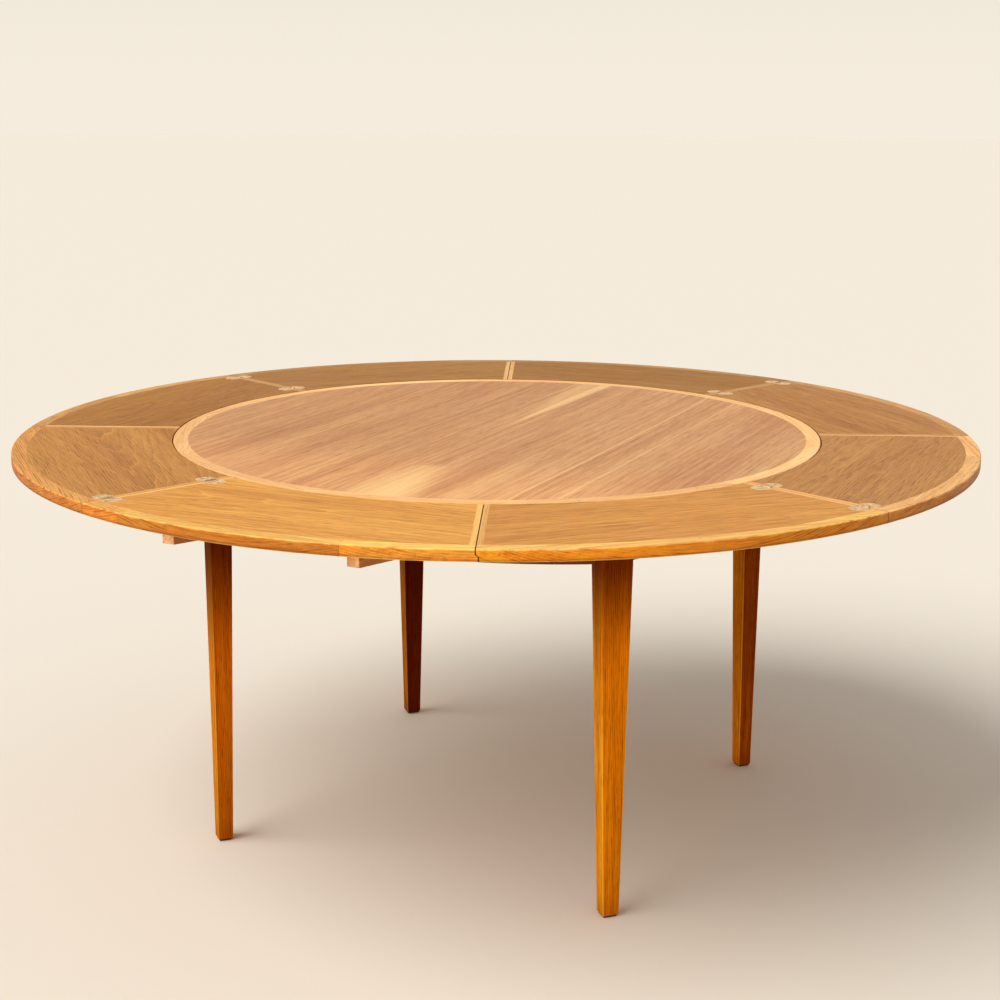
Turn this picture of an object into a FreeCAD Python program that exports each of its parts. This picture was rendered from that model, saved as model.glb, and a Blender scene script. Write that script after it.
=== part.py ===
import FreeCAD, Part
import os
import re

import Sketcher

from FreeCAD import Placement, Rotation, Vector

# Round extending table: a floating centre disc inside a ring of hinged leaves.
# Millimetres, +Z up, origin on the floor under the centre of the disc.
# Each side has one leaf on two sloping lopers and one flap that folds over onto that leaf.

# Driving dimensions, in millimetres and degrees
SIZES = {
    # Table top
    "table_height": 695,
    "board_thickness": 18,
    "ring_radius": 831,
    "disc_radius": 564.5,
    "disc_gap": 2,
    "lipping_width": 25,
    "strip_width": 8.5,
    "rim_rounding": 2.5,
    # Seams between neighbouring leaves
    "seam_gap": 1.2,
    "hinge_gap": 0.4,
    "lip_reach": 4,
    "lip_top": 7,
    "lip_bottom": 11,
    # Flush round hinges
    "hinge_rim_inset": 42.4,
    "hinge_disc_inset": 39.5,
    "plate_radius": 16,
    "plate_offset": 13,
    "plate_thickness": 2,
    "screw_circle": 9,
    "screw_hole": 1.6,
    "screw_sink": 3.2,
    "seat_clearance": 0.2,
    "axis_rise": 0.2,
    "knuckle_radius": 2,
    "knuckle_clearance": 0.3,
    "barrel_length": 17,
    "centre_knuckle": 7,
    "knuckle_play": 0.2,
    "pin_radius": 1,
    "pin_clearance": 0.05,
    # Lopers
    "loper_slope": 7.32,
    "loper_width": 20,
    "loper_depth": 26,
    "loper_nose": 19,
    "loper_setback": 34,
    "loper_seat": 82,
    "loper_tail": 14,
    "loper_rounding": 2.5,
    "wide_spacing": 149,
    "narrow_spacing": 48,
    "loper_play": 0.3,
    "over_travel": 12,
    "stop_clearance": 0.4,
    "peg_radius": 4,
    "peg_reach": 7,
    # Loper guides
    "guide_length": 42,
    "guide_floor": 10,
    "guide_cheek": 12,
    "guide_rise": 0.5,
    "guide_clearance": 0.2,
    "strap_setback": 6,
    "strap_width": 16,
    "strap_thickness": 2,
    # Legs
    "leg_outer": 523,
    "leg_top_radial": 38,
    "leg_top_tangential": 54,
    "leg_foot_radial": 26,
    "leg_foot_tangential": 28,
    "leg_rounding": 2,
    "foot_chamfer": 1.5,
    "glide_thickness": 3,
    "glide_inset": 3,
    # Aprons
    "apron_bow": 690,
    "apron_setback": 25,
    "apron_thickness": 18,
    "apron_drop": 38.5,
    "apron_height": 59,
    "notch_clearance": 0.5,
    # Crossed rails and the guide posts of the disc
    "rail_drop": 2,
    "rail_height": 50,
    "rail_width": 24,
    "post_distance": 120,
    "post_radius": 6,
    "post_clearance": 0.2,
    "lift_height": 40,
    "collar_radius": 12,
    "collar_height": 8,
}

SIDES = ["front", "right", "back", "left"]
SIDE_ANGLES = {"front": -90, "right": 0, "back": 90, "left": 180}
LEAF_ANGLE = 45
HALF_LEAF = LEAF_ANGLE / 2
SCREW_ANGLES = [-30, 90, 210]
LEG_ANGLES = {side: angle + LEAF_ANGLE for side, angle in SIDE_ANGLES.items()}

# Sizes worked out from the driving dimensions
UNDERSIDE = "(table_height - board_thickness)"
RING_INNER = "(disc_radius + disc_gap)"
PANEL_OUTER = "(ring_radius - lipping_width)"
DISC_PANEL = "(disc_radius - lipping_width)"
HALF_SEAM = "(seam_gap / 2)"
HALF_HINGE = "(hinge_gap / 2)"
FREE_STRIP = "(seam_gap / 2 + strip_width)"
HINGE_STRIP = "(hinge_gap / 2 + strip_width)"
LEG_INNER = "(leg_outer - leg_top_radial)"
LEG_HALF = "(leg_top_tangential / 2)"
# An apron's outer corner lies on the side face of a leg, a little behind the leg's outer face
CORNER_PLACE = "((leg_outer - apron_setback + " + LEG_HALF + ") / sqrt(2))"
CORNER_LATERAL = "((leg_outer - apron_setback - " + LEG_HALF + ") / sqrt(2))"
APRON_CENTRE = "(" + CORNER_PLACE + " - sqrt(apron_bow^2 - " + CORNER_LATERAL + "^2))"
APRON_INNER = "(apron_bow - apron_thickness)"
APRON_BOTTOM = "(" + UNDERSIDE + " - apron_drop - apron_height)"
GUIDE_INNER = "(" + APRON_CENTRE + " + sqrt(" + APRON_INNER + "^2 - wide_spacing^2) - guide_length)"
PEG_PLACE = "(" + GUIDE_INNER + " - peg_radius - over_travel * cos(loper_slope) - stop_clearance)"
LOPER_INNER = "(" + PEG_PLACE + " - loper_tail)"
LOPER_OUTER = "(ring_radius - loper_setback)"
LOPER_SHOULDER = "(" + LOPER_OUTER + " - loper_seat)"
RAIL_TOP = "(" + UNDERSIDE + " - rail_drop)"
RAIL_BOTTOM = "(" + RAIL_TOP + " - rail_height)"
COLLAR_TOP = "(" + RAIL_BOTTOM + " - lift_height - stop_clearance)"
HINGES = ["(ring_radius - hinge_rim_inset)", "(" + RING_INNER + " + hinge_disc_inset)"]

doc = FreeCAD.newDocument("round_table")
sheet = doc.addObject("Spreadsheet::Sheet", "Sizes")
for row, (alias, number) in enumerate(SIZES.items(), start=1):
    sheet.set("A%d" % row, alias)
    sheet.set("B%d" % row, str(number))
    sheet.setAlias("B%d" % row, alias)
doc.recompute()

subparts = []


def cells(text):
    """Point every size named in the text at its cell of the sheet."""
    return re.sub(r"[a-z]+(?:_[a-z]+)+", lambda found: "Sizes." + found.group(0), text)


def value(text):
    """Present value of an expression, in millimetres."""
    return float(sheet.evalExpression(cells(text)))


def turned(angle):
    """Placement that turns a piece about the table's upright axis."""
    return Placement(Vector(0, 0, 0), Rotation(Vector(0, 0, 1), angle))


def keep(piece, name):
    """Name a finished piece and list it as a sub-part."""
    piece.Label = name
    subparts.append(piece)
    return piece


def new_body(name, angle=0):
    """Empty body in a frame turned about the upright axis."""
    body = doc.addObject("PartDesign::Body", name)
    body.Placement = turned(angle)
    return body


def sketch_on(body, role, offset="0"):
    """Sketch on one of the body's own origin planes, moved along the plane's normal."""
    plane = next(item for item in body.Origin.OriginFeatures if item.Role == role)
    sketch = body.newObject("Sketcher::SketchObject", body.Name + "_sketch")
    sketch.AttachmentSupport = [(plane, "")]
    sketch.MapMode = "FlatFace"
    sketch.setExpression("AttachmentOffset.Base.z", cells(offset))
    return sketch


def pin_point(sketch, edge, end, x, y):
    """Tie one point of the sketch to expressions for its two coordinates."""
    for kind, text in (("DistanceX", x), ("DistanceY", y)):
        rule = Sketcher.Constraint(kind, -1, 1, edge, end, value(text))
        number = sketch.addConstraint(rule)
        sketch.setExpression("Constraints[%d]" % number, cells(text))


def pin_radius(sketch, edge, radius):
    """Tie the radius of an arc or circle to an expression."""
    number = sketch.addConstraint(Sketcher.Constraint("Radius", edge, value(radius)))
    sketch.setExpression("Constraints[%d]" % number, cells(radius))


def outline(sketch, corners, centre_x="0"):
    """Closed outline; a corner with a radius starts an arc about the point centre_x on the x axis."""
    points = [Vector(value(corner[0]), value(corner[1]), 0) for corner in corners]
    centre = Vector(value(centre_x), 0, 0)
    ends = []
    for index, corner in enumerate(corners):
        start = points[index]
        stop = points[(index + 1) % len(points)]
        if len(corner) == 2:
            sketch.addGeometry(Part.LineSegment(start, stop))
            ends.append((1, 2))
            continue
        out_start = start - centre
        out_stop = stop - centre
        forward = out_start.cross(out_stop).z > 0
        middle = centre + (out_start + out_stop).normalize() * value(corner[2])
        first, last = (start, stop) if forward else (stop, start)
        sketch.addGeometry(Part.Arc(first, middle, last))
        ends.append((1, 2) if forward else (2, 1))
    for index, corner in enumerate(corners):
        following = (index + 1) % len(corners)
        joint = Sketcher.Constraint("Coincident", index, ends[index][1], following, ends[following][0])
        sketch.addConstraint(joint)
        pin_point(sketch, index, ends[index][0], corner[0], corner[1])
        if len(corner) == 3:
            pin_radius(sketch, index, corner[2])


def circle(sketch, x, y, radius):
    """Circle with its centre and radius tied to expressions."""
    centre = Vector(value(x), value(y), 0)
    edge = sketch.addGeometry(Part.Circle(centre, Vector(0, 0, 1), value(radius)))
    pin_point(sketch, edge, 3, x, y)
    pin_radius(sketch, edge, radius)


def pad(body, sketch, length):
    """Raise a sketch into a solid along its plane's normal."""
    feature = body.newObject("PartDesign::Pad", body.Name + "_pad")
    feature.Profile = sketch
    feature.setExpression("Length", cells(length))
    sketch.Visibility = False
    doc.recompute()
    return feature


def pocket(body, sketch, length, along_normal=False):
    """Cut a sketch out of the body and make sure that it cut something."""
    before = body.Shape.Volume
    feature = body.newObject("PartDesign::Pocket", body.Name + "_pocket")
    feature.Profile = sketch
    feature.setExpression("Length", cells(length))
    feature.Reversed = along_normal
    doc.recompute()
    if before - body.Shape.Volume < 1e-6 * before:
        raise RuntimeError("a cut missed " + body.Name)
    return feature


def dress(body, kind, measure, chosen, size):
    """Round or bevel the edges of the body's last feature that the chosen test accepts."""
    base = body.Tip
    names = ["Edge%d" % (number + 1) for number, edge in enumerate(base.Shape.Edges) if chosen(edge)]
    feature = body.newObject("PartDesign::" + kind, body.Name + "_edges")
    feature.Base = (base, names)
    feature.setExpression(measure, cells(size))
    doc.recompute()


def fillet(body, chosen, radius):
    """Round the chosen edges."""
    dress(body, "Fillet", "Radius", chosen, radius)


def chamfer(body, chosen, size):
    """Bevel the chosen edges."""
    dress(body, "Chamfer", "Size", chosen, size)


def round_edge(radius):
    """Test for the edges that run round the table at a radius."""
    return lambda edge: hasattr(edge.Curve, "Radius") and abs(edge.Curve.Radius / radius - 1) < 1e-6


def group(name, members):
    """One sub-part made of several separate solids."""
    holder = doc.addObject("Part::Compound", name)
    holder.Links = members
    return keep(holder, name)


def copy_of(master, placement):
    """Placed copy of a piece that the table has several of."""
    link = doc.addObject("App::Link", master.Name + "_copy")
    link.LinkedObject = master
    link.LinkPlacement = placement
    return link


def by_seam(distance, offset, angle):
    """Point at a distance along a radial seam and an offset to its left."""
    x = "((%s) * cos(%s) - (%s) * sin(%s))" % (distance, angle, offset, angle)
    y = "((%s) * sin(%s) + (%s) * cos(%s))" % (distance, angle, offset, angle)
    return x, y


def on_arc(radius, offset, angle):
    """Point where a line beside a radial seam meets an arc about the table's centre."""
    return by_seam("sqrt((%s)^2 - (%s)^2)" % (radius, offset), offset, angle)


# Leaves of the ring: each is drawn with its free seam along the x axis

def cut_plate_seats(body, hinge_angle, side):
    """Sink the round seats of the hinge plates into the top face."""
    sketch = sketch_on(body, "XY_Plane", "table_height")
    for hinge in HINGES:
        x, y = by_seam(hinge, "%d * plate_offset" % side, hinge_angle)
        circle(sketch, x, y, "plate_radius + seat_clearance")
    pocket(body, sketch, "plate_thickness")


def cut_barrel_notches(body, hinge_angle, side):
    """Notch the edge along the hinged seam so that the barrels turn freely."""
    half = "(barrel_length / 2 + seat_clearance)"
    depth = "%d * (knuckle_radius + knuckle_clearance)" % side
    beyond = "%d * (-hinge_gap)" % side
    for hinge in HINGES:
        near = "%s - %s" % (hinge, half)
        far = "%s + %s" % (hinge, half)
        sketch = sketch_on(body, "XY_Plane", "table_height")
        spots = [(near, beyond), (far, beyond), (far, depth), (near, depth)]
        outline(sketch, [by_seam(along, offset, hinge_angle) for along, offset in spots])
        pocket(body, sketch, "knuckle_radius + knuckle_clearance - axis_rise")


def ring_panel(name, frame_angle, hinge_angle, side):
    """Veneered field of a leaf, between its rim, its side strips and the disc."""
    free = "%d * %s" % (-side, FREE_STRIP)
    hinged = "%d * %s" % (side, HINGE_STRIP)
    body = new_body(name, frame_angle)
    sketch = sketch_on(body, "XY_Plane", UNDERSIDE)
    outline(sketch, [
        on_arc(PANEL_OUTER, hinged, hinge_angle) + (PANEL_OUTER,),
        on_arc(PANEL_OUTER, free, 0),
        on_arc(RING_INNER, free, 0) + (RING_INNER,),
        on_arc(RING_INNER, hinged, hinge_angle),
    ])
    pad(body, sketch, "board_thickness")
    cut_plate_seats(body, hinge_angle, side)
    return keep(body, name)


def ring_lipping(name, frame_angle, hinge_angle, side, free_edge, profile):
    """Edge band of a leaf: the rim and the two side strips, with the free seam's profile cut along it."""
    free = "%d * %s" % (-side, FREE_STRIP)
    strip = "%d * %s" % (side, HINGE_STRIP)
    hinged = "%d * %s" % (side, HALF_HINGE)
    body = new_body(name, frame_angle)
    sketch = sketch_on(body, "XY_Plane", UNDERSIDE)
    outline(sketch, [
        on_arc("ring_radius", hinged, hinge_angle) + ("ring_radius",),
        on_arc("ring_radius", free_edge, 0),
        on_arc(RING_INNER, free_edge, 0) + (RING_INNER,),
        on_arc(RING_INNER, free, 0),
        on_arc(PANEL_OUTER, free, 0) + (PANEL_OUTER,),
        on_arc(PANEL_OUTER, strip, hinge_angle),
        on_arc(RING_INNER, strip, hinge_angle) + (RING_INNER,),
        on_arc(RING_INNER, hinged, hinge_angle),
    ])
    pad(body, sketch, "board_thickness")
    fillet(body, round_edge(value("ring_radius")), "rim_rounding")
    seam = sketch_on(body, "YZ_Plane")
    outline(seam, profile)
    pocket(body, seam, "2 * ring_radius", along_normal=True)
    cut_plate_seats(body, hinge_angle, side)
    cut_barrel_notches(body, hinge_angle, side)
    return keep(body, name)


def lip_profile():
    """What is cut from a carried leaf so that its lower half stands out as a lip."""
    outside = "lip_reach + board_thickness"
    above = "table_height + board_thickness"
    return [
        ("-" + HALF_SEAM, above),
        ("-" + HALF_SEAM, "table_height - lip_top"),
        ("lip_reach", "table_height - lip_bottom"),
        (outside, "table_height - lip_bottom"),
        (outside, above),
    ]


def rebate_profile():
    """What is cut from a flap so that its upper half lies over the neighbour's lip."""
    inside = "lip_reach + seam_gap"
    below = "table_height - 2 * board_thickness"
    return [
        (HALF_SEAM, "table_height - lip_top"),
        (inside, "table_height - lip_bottom"),
        (inside, below),
        ("-" + HALF_SEAM, below),
        ("-" + HALF_SEAM, "table_height - lip_top"),
    ]


# Hinges: drawn about their own axis, x along the seam and y towards the carried leaf

def round_bar(radius, length, start):
    """Cylinder along the hinge axis."""
    bar = doc.addObject("Part::Cylinder", "hinge_bar")
    bar.Placement = Placement(Vector(0, 0, 0), Rotation(Vector(0, 1, 0), 90))
    bar.setExpression("Radius", cells(radius))
    bar.setExpression("Height", cells(length))
    bar.setExpression("Placement.Base.x", cells(start))
    return bar


def half_plate(side):
    """Round plate cut straight along the seam."""
    plate = doc.addObject("Part::Cylinder", "plate_disc")
    plate.setExpression("Radius", cells("plate_radius"))
    plate.setExpression("Height", cells("plate_thickness"))
    plate.setExpression("Placement.Base.y", cells("%d * plate_offset" % side))
    plate.setExpression("Placement.Base.z", cells("-axis_rise - plate_thickness"))
    waste = doc.addObject("Part::Box", "plate_waste")
    waste.setExpression("Length", cells("4 * plate_radius"))
    waste.setExpression("Width", cells("2 * plate_radius"))
    waste.setExpression("Height", cells("4 * plate_thickness"))
    waste.setExpression("Placement.Base.x", cells("-2 * plate_radius"))
    near = "hinge_gap / 2 - 2 * plate_radius" if side > 0 else "-hinge_gap / 2"
    waste.setExpression("Placement.Base.y", cells(near))
    waste.setExpression("Placement.Base.z", cells("-axis_rise - 2 * plate_thickness"))
    plate = boolean("Part::Cut", plate, waste)
    for angle in SCREW_ANGLES:
        plate = boolean("Part::Cut", plate, screw_hole(side, angle))
    return plate


def screw_hole(side, angle):
    """Countersunk hole through a plate, at an angle round the plate's centre."""
    hole = doc.addObject("Part::Cone", "screw_hole")
    hole.setExpression("Radius1", cells("screw_hole"))
    hole.setExpression("Radius2", cells("screw_sink"))
    hole.setExpression("Height", cells("plate_thickness"))
    across_plate = "%d * (plate_offset + screw_circle * sin(%d))" % (side, angle)
    hole.setExpression("Placement.Base.x", cells("screw_circle * cos(%d)" % angle))
    hole.setExpression("Placement.Base.y", cells(across_plate))
    hole.setExpression("Placement.Base.z", cells("-axis_rise - plate_thickness"))
    return hole


def boolean(kind, base, tool):
    """Join, cut or intersect two solids."""
    result = doc.addObject(kind, "hinge_step")
    result.Base = base
    result.Tool = tool
    return result


OUTER_START = "(centre_knuckle / 2 + knuckle_play)"
OUTER_LENGTH = "(barrel_length / 2 - centre_knuckle / 2 - knuckle_play)"
CLEAR_RADIUS = "knuckle_radius + knuckle_clearance"


def leaf_hinge_master():
    """Plate with the two outer knuckles."""
    room = round_bar(CLEAR_RADIUS, "2 * " + OUTER_START, "-" + OUTER_START)
    plate = boolean("Part::Cut", half_plate(1), room)
    for start in (OUTER_START, "-barrel_length / 2"):
        plate = boolean("Part::Fuse", plate, round_bar("knuckle_radius", OUTER_LENGTH, start))
    return boolean("Part::Cut", plate, round_bar("pin_radius", "barrel_length", "-barrel_length / 2"))


def flap_hinge_master():
    """Plate with the centre knuckle."""
    plate = half_plate(-1)
    for start in ("centre_knuckle / 2", "-centre_knuckle / 2 - plate_radius"):
        plate = boolean("Part::Cut", plate, round_bar(CLEAR_RADIUS, "plate_radius", start))
    plate = boolean("Part::Fuse", plate, round_bar("knuckle_radius", "centre_knuckle", "-centre_knuckle / 2"))
    bore = round_bar("pin_radius + pin_clearance", "barrel_length", "-barrel_length / 2")
    return boolean("Part::Cut", plate, bore)


def hinge_places(side):
    """Where the hinges of one side sit on their seam."""
    seam = turned(SIDE_ANGLES[side] - HALF_LEAF)
    height = value("table_height + axis_rise")
    return [seam * Placement(Vector(value(hinge), 0, height), Rotation()) for hinge in HINGES]


# Lopers and their guides: drawn with x pointing out along the draw direction

def loper_bottom(place):
    """Height of the loper's running face at a distance from the table's centre."""
    return "(%s - loper_nose - tan(loper_slope) * (%s - (%s)))" % (UNDERSIDE, LOPER_OUTER, place)


def loper_top(place):
    """Height of the loper's upper running face."""
    return "(%s + loper_depth)" % loper_bottom(place)


def across(lateral, width):
    """Offset of an upright sketch so that a pad of this width is centred on the lateral place."""
    return "-(%s) - (%s) / 2" % (lateral, width)


def loper(side, lateral):
    """Sloping bearer with a flat seat for the leaf and a bored tail."""
    body = new_body("loper_" + side, SIDE_ANGLES[side])
    sketch = sketch_on(body, "XZ_Plane", across(lateral, "loper_width"))
    outline(sketch, [
        (LOPER_OUTER, loper_bottom(LOPER_OUTER)),
        (LOPER_OUTER, UNDERSIDE),
        (LOPER_SHOULDER, UNDERSIDE),
        (LOPER_SHOULDER, loper_top(LOPER_SHOULDER)),
        (LOPER_INNER, loper_top(LOPER_INNER)),
        (LOPER_INNER, loper_bottom(LOPER_INNER)),
    ])
    pad(body, sketch, "loper_width")
    bore = sketch_on(body, "XZ_Plane", across(lateral, "loper_width"))
    circle(bore, PEG_PLACE, peg_height(), "peg_radius")
    pocket(body, bore, "loper_width", along_normal=True)
    fillet(body, on_nose, "loper_rounding")
    return body


def on_nose(edge):
    """Test for the edges round a loper's outer end, apart from the one under the leaf."""
    lowest = min(corner.Z for corner in edge.Vertexes)
    at_end = all(abs(corner.X - value(LOPER_OUTER)) < 1e-6 for corner in edge.Vertexes)
    return at_end and lowest < value(UNDERSIDE) - 1e-6


def peg_height():
    """Middle of the loper at its peg."""
    return "(%s + loper_depth / 2)" % loper_bottom(PEG_PLACE)


def loper_peg(side, lateral):
    """Dowel through the tail that meets the guide's cheeks when the leaf is drawn right out."""
    length = "loper_width + 2 * peg_reach"
    body = new_body("peg_" + side, SIDE_ANGLES[side])
    sketch = sketch_on(body, "XZ_Plane", across(lateral, length))
    circle(sketch, PEG_PLACE, peg_height(), "peg_radius")
    pad(body, sketch, length)
    return body


def apron_inner_at(lateral):
    """Where the inner face of the bowed apron is at a lateral place."""
    return "(%s + sqrt((%s - guide_clearance)^2 - (%s)^2))" % (APRON_CENTRE, APRON_INNER, lateral)


def loper_guide(side, lateral):
    """Open block behind the apron in which a loper slides."""
    width = "(loper_width + 2 * loper_play + 2 * guide_cheek)"
    floor = "loper_play + guide_floor"
    beyond = APRON_CENTRE + " + apron_bow"
    body = new_body("guide_" + side, SIDE_ANGLES[side])
    block = sketch_on(body, "XZ_Plane", across(lateral, width))
    outline(block, [
        (GUIDE_INNER, "%s - (%s)" % (loper_bottom(GUIDE_INNER), floor)),
        (beyond, "%s - (%s)" % (loper_bottom(beyond), floor)),
        (beyond, loper_top(beyond) + " + guide_rise"),
        (GUIDE_INNER, loper_top(GUIDE_INNER) + " + guide_rise"),
    ])
    pad(body, block, width)
    slot_width = "loper_width + 2 * loper_play"
    slot = sketch_on(body, "XZ_Plane", across(lateral, slot_width))
    outline(slot, [
        ("0", loper_bottom("0") + " - loper_play"),
        ("ring_radius", loper_bottom("ring_radius") + " - loper_play"),
        ("ring_radius", loper_top("ring_radius") + " + loper_depth"),
        ("0", loper_top("0") + " + loper_depth"),
    ])
    pocket(body, slot, slot_width, along_normal=True)
    low = "(%s - %s)" % (lateral, width)
    high = "(%s + %s)" % (lateral, width)
    bow = sketch_on(body, "XY_Plane", "table_height")
    outline(bow, [
        (apron_inner_at(low), low, "%s - guide_clearance" % APRON_INNER),
        (apron_inner_at(high), high),
        ("ring_radius", high),
        ("ring_radius", low),
    ], centre_x=APRON_CENTRE)
    pocket(body, bow, "table_height")
    return body


def keeper_strap(side, lateral):
    """Steel strap over the guide that keeps the loper from tipping up."""
    width = "(loper_width + 2 * loper_play + 2 * guide_cheek)"
    inner = "(%s + strap_setback)" % GUIDE_INNER
    outer = "(%s + strap_width)" % inner
    body = new_body("strap_" + side, SIDE_ANGLES[side])
    sketch = sketch_on(body, "XZ_Plane", across(lateral, width))
    outline(sketch, [
        (inner, loper_top(inner) + " + guide_rise"),
        (outer, loper_top(outer) + " + guide_rise"),
        (outer, loper_top(outer) + " + guide_rise + strap_thickness"),
        (inner, loper_top(inner) + " + guide_rise + strap_thickness"),
    ])
    pad(body, sketch, width)
    return body


def laterals(side):
    """The two loper places of a side: wide at front and back, narrow at the other two."""
    spacing = "wide_spacing" if side in ("front", "back") else "narrow_spacing"
    return ["-" + spacing, spacing]


# Frame: legs, bowed aprons and crossed rails

def rectangle(sketch, low_x, high_x, low_y, high_y):
    """Upright rectangle between two corners."""
    outline(sketch, [(low_x, low_y), (high_x, low_y), (high_x, high_y), (low_x, high_y)])


def leg(name):
    """Square leg, straight where the rails meet it and tapered below them on three sides."""
    body = new_body("leg_" + name, LEG_ANGLES[name])
    foot = sketch_on(body, "XY_Plane", "glide_thickness")
    foot_half = "leg_foot_tangential / 2"
    rectangle(foot, "leg_outer - leg_foot_radial", "leg_outer", "-" + foot_half, foot_half)
    shoulder = sketch_on(body, "XY_Plane", APRON_BOTTOM)
    rectangle(shoulder, LEG_INNER, "leg_outer", "-" + LEG_HALF, LEG_HALF)
    taper = body.newObject("PartDesign::AdditiveLoft", body.Name + "_taper")
    taper.Profile = foot
    taper.Sections = [shoulder]
    taper.Ruled = True
    doc.recompute()
    block = sketch_on(body, "XY_Plane", APRON_BOTTOM)
    rectangle(block, LEG_INNER, "leg_outer", "-" + LEG_HALF, LEG_HALF)
    pad(body, block, "%s - %s" % (UNDERSIDE, APRON_BOTTOM))
    fillet(body, lambda edge: abs(edge.tangentAt(edge.FirstParameter).z) > 0.5, "leg_rounding")
    ground = value("glide_thickness")
    chamfer(body, lambda edge: all(abs(corner.Z - ground) < 1e-6 for corner in edge.Vertexes), "foot_chamfer")
    return keep(body, "leg_" + name)


def leg_glide(angle):
    """Thin pad under a leg."""
    body = new_body("glide", angle)
    sketch = sketch_on(body, "XY_Plane")
    half = "(leg_foot_tangential / 2 - glide_inset)"
    inner = "leg_outer - leg_foot_radial + glide_inset"
    rectangle(sketch, inner, "leg_outer - glide_inset", "-" + half, half)
    pad(body, sketch, "glide_thickness")
    return body


def apron_corner(radius, sign):
    """Where an arc of the apron meets the side face of a leg, which runs at 45 degrees."""
    reach = "(leg_top_tangential / sqrt(2))"
    span = "(%s - %s)" % (reach, APRON_CENTRE)
    lateral = "((sqrt(2 * (%s)^2 - %s^2) - %s) / 2)" % (radius, span, span)
    return "(%s + %s)" % (lateral, reach), "%d * %s" % (sign, lateral)


def apron(side):
    """Bowed rail between two legs, notched for the lopers."""
    body = new_body("apron_" + side, SIDE_ANGLES[side])
    sketch = sketch_on(body, "XY_Plane", APRON_BOTTOM)
    outline(sketch, [
        apron_corner("apron_bow", -1) + ("apron_bow",),
        apron_corner("apron_bow", 1),
        apron_corner(APRON_INNER, 1) + (APRON_INNER,),
        apron_corner(APRON_INNER, -1),
    ], centre_x=APRON_CENTRE)
    pad(body, sketch, "apron_height")
    width = "loper_width + 2 * notch_clearance"
    for lateral in laterals(side):
        notch = sketch_on(body, "XZ_Plane", across(lateral, width))
        outline(notch, [
            (GUIDE_INNER, loper_bottom(GUIDE_INNER) + " - notch_clearance"),
            ("ring_radius", loper_bottom("ring_radius") + " - notch_clearance"),
            ("ring_radius", "table_height"),
            (GUIDE_INNER, "table_height"),
        ])
        pocket(body, notch, width, along_normal=True)
    return keep(body, "apron_" + side)


def cross_rail(name, angle, notch_low, notch_high):
    """Rail from leg to leg, half lapped at the middle and bored for two guide posts."""
    body = new_body("cross_rail_" + name, angle)
    sketch = sketch_on(body, "XZ_Plane", across("0", "rail_width"))
    rectangle(sketch, "-" + LEG_INNER, LEG_INNER, RAIL_BOTTOM, RAIL_TOP)
    pad(body, sketch, "rail_width")
    lap = sketch_on(body, "XZ_Plane", across("0", "2 * rail_width"))
    rectangle(lap, "-rail_width / 2", "rail_width / 2", notch_low, notch_high)
    pocket(body, lap, "2 * rail_width", along_normal=True)
    bores = sketch_on(body, "XY_Plane", RAIL_TOP)
    for place in ("-post_distance", "post_distance"):
        circle(bores, place, "0", "post_radius + post_clearance")
    pocket(body, bores, "rail_height")
    return keep(body, "cross_rail_" + name)


# Centre disc

def round_piece(name, low, height, radius, place="0", angle=0, hole=None):
    """Upright round piece, solid or with a hole."""
    body = new_body(name, angle)
    sketch = sketch_on(body, "XY_Plane", low)
    circle(sketch, place, "0", radius)
    if hole:
        circle(sketch, place, "0", hole)
    pad(body, sketch, height)
    return body


def at_posts(name, low, height, radius):
    """One round piece at each of the four guide posts."""
    return [round_piece(name, low, height, radius, "post_distance", angle) for angle in LEG_ANGLES.values()]


def centre_disc():
    """Floating middle of the table top: a veneered panel inside a round edge band."""
    keep(round_piece("centre_panel", UNDERSIDE, "board_thickness", DISC_PANEL), "centre_panel")
    band = round_piece("centre_lipping", UNDERSIDE, "board_thickness", "disc_radius", hole=DISC_PANEL)
    fillet(band, round_edge(value("disc_radius")), "rim_rounding / 2")
    keep(band, "centre_lipping")
    post_length = "%s - %s" % (UNDERSIDE, COLLAR_TOP)
    group("guide_posts", at_posts("post", COLLAR_TOP, post_length, "post_radius"))
    collar_bottom = COLLAR_TOP + " - collar_height"
    group("post_collars", at_posts("collar", collar_bottom, "collar_height", "collar_radius"))


# Build the whole table

for name in LEG_ANGLES:
    leg(name)
group("leg_glides", [leg_glide(angle) for angle in LEG_ANGLES.values()])
for side in SIDES:
    apron(side)
MIDDLE = "(%s + rail_height / 2)" % RAIL_BOTTOM
cross_rail("lower", LEG_ANGLES["right"], MIDDLE, RAIL_TOP + " + rail_height")
cross_rail("upper", LEG_ANGLES["back"], RAIL_BOTTOM + " - rail_height", MIDDLE)
places = [(side, lateral) for side in SIDES for lateral in laterals(side)]
group("loper_guides", [loper_guide(side, lateral) for side, lateral in places])
group("keeper_straps", [keeper_strap(side, lateral) for side, lateral in places])
centre_disc()

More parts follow.
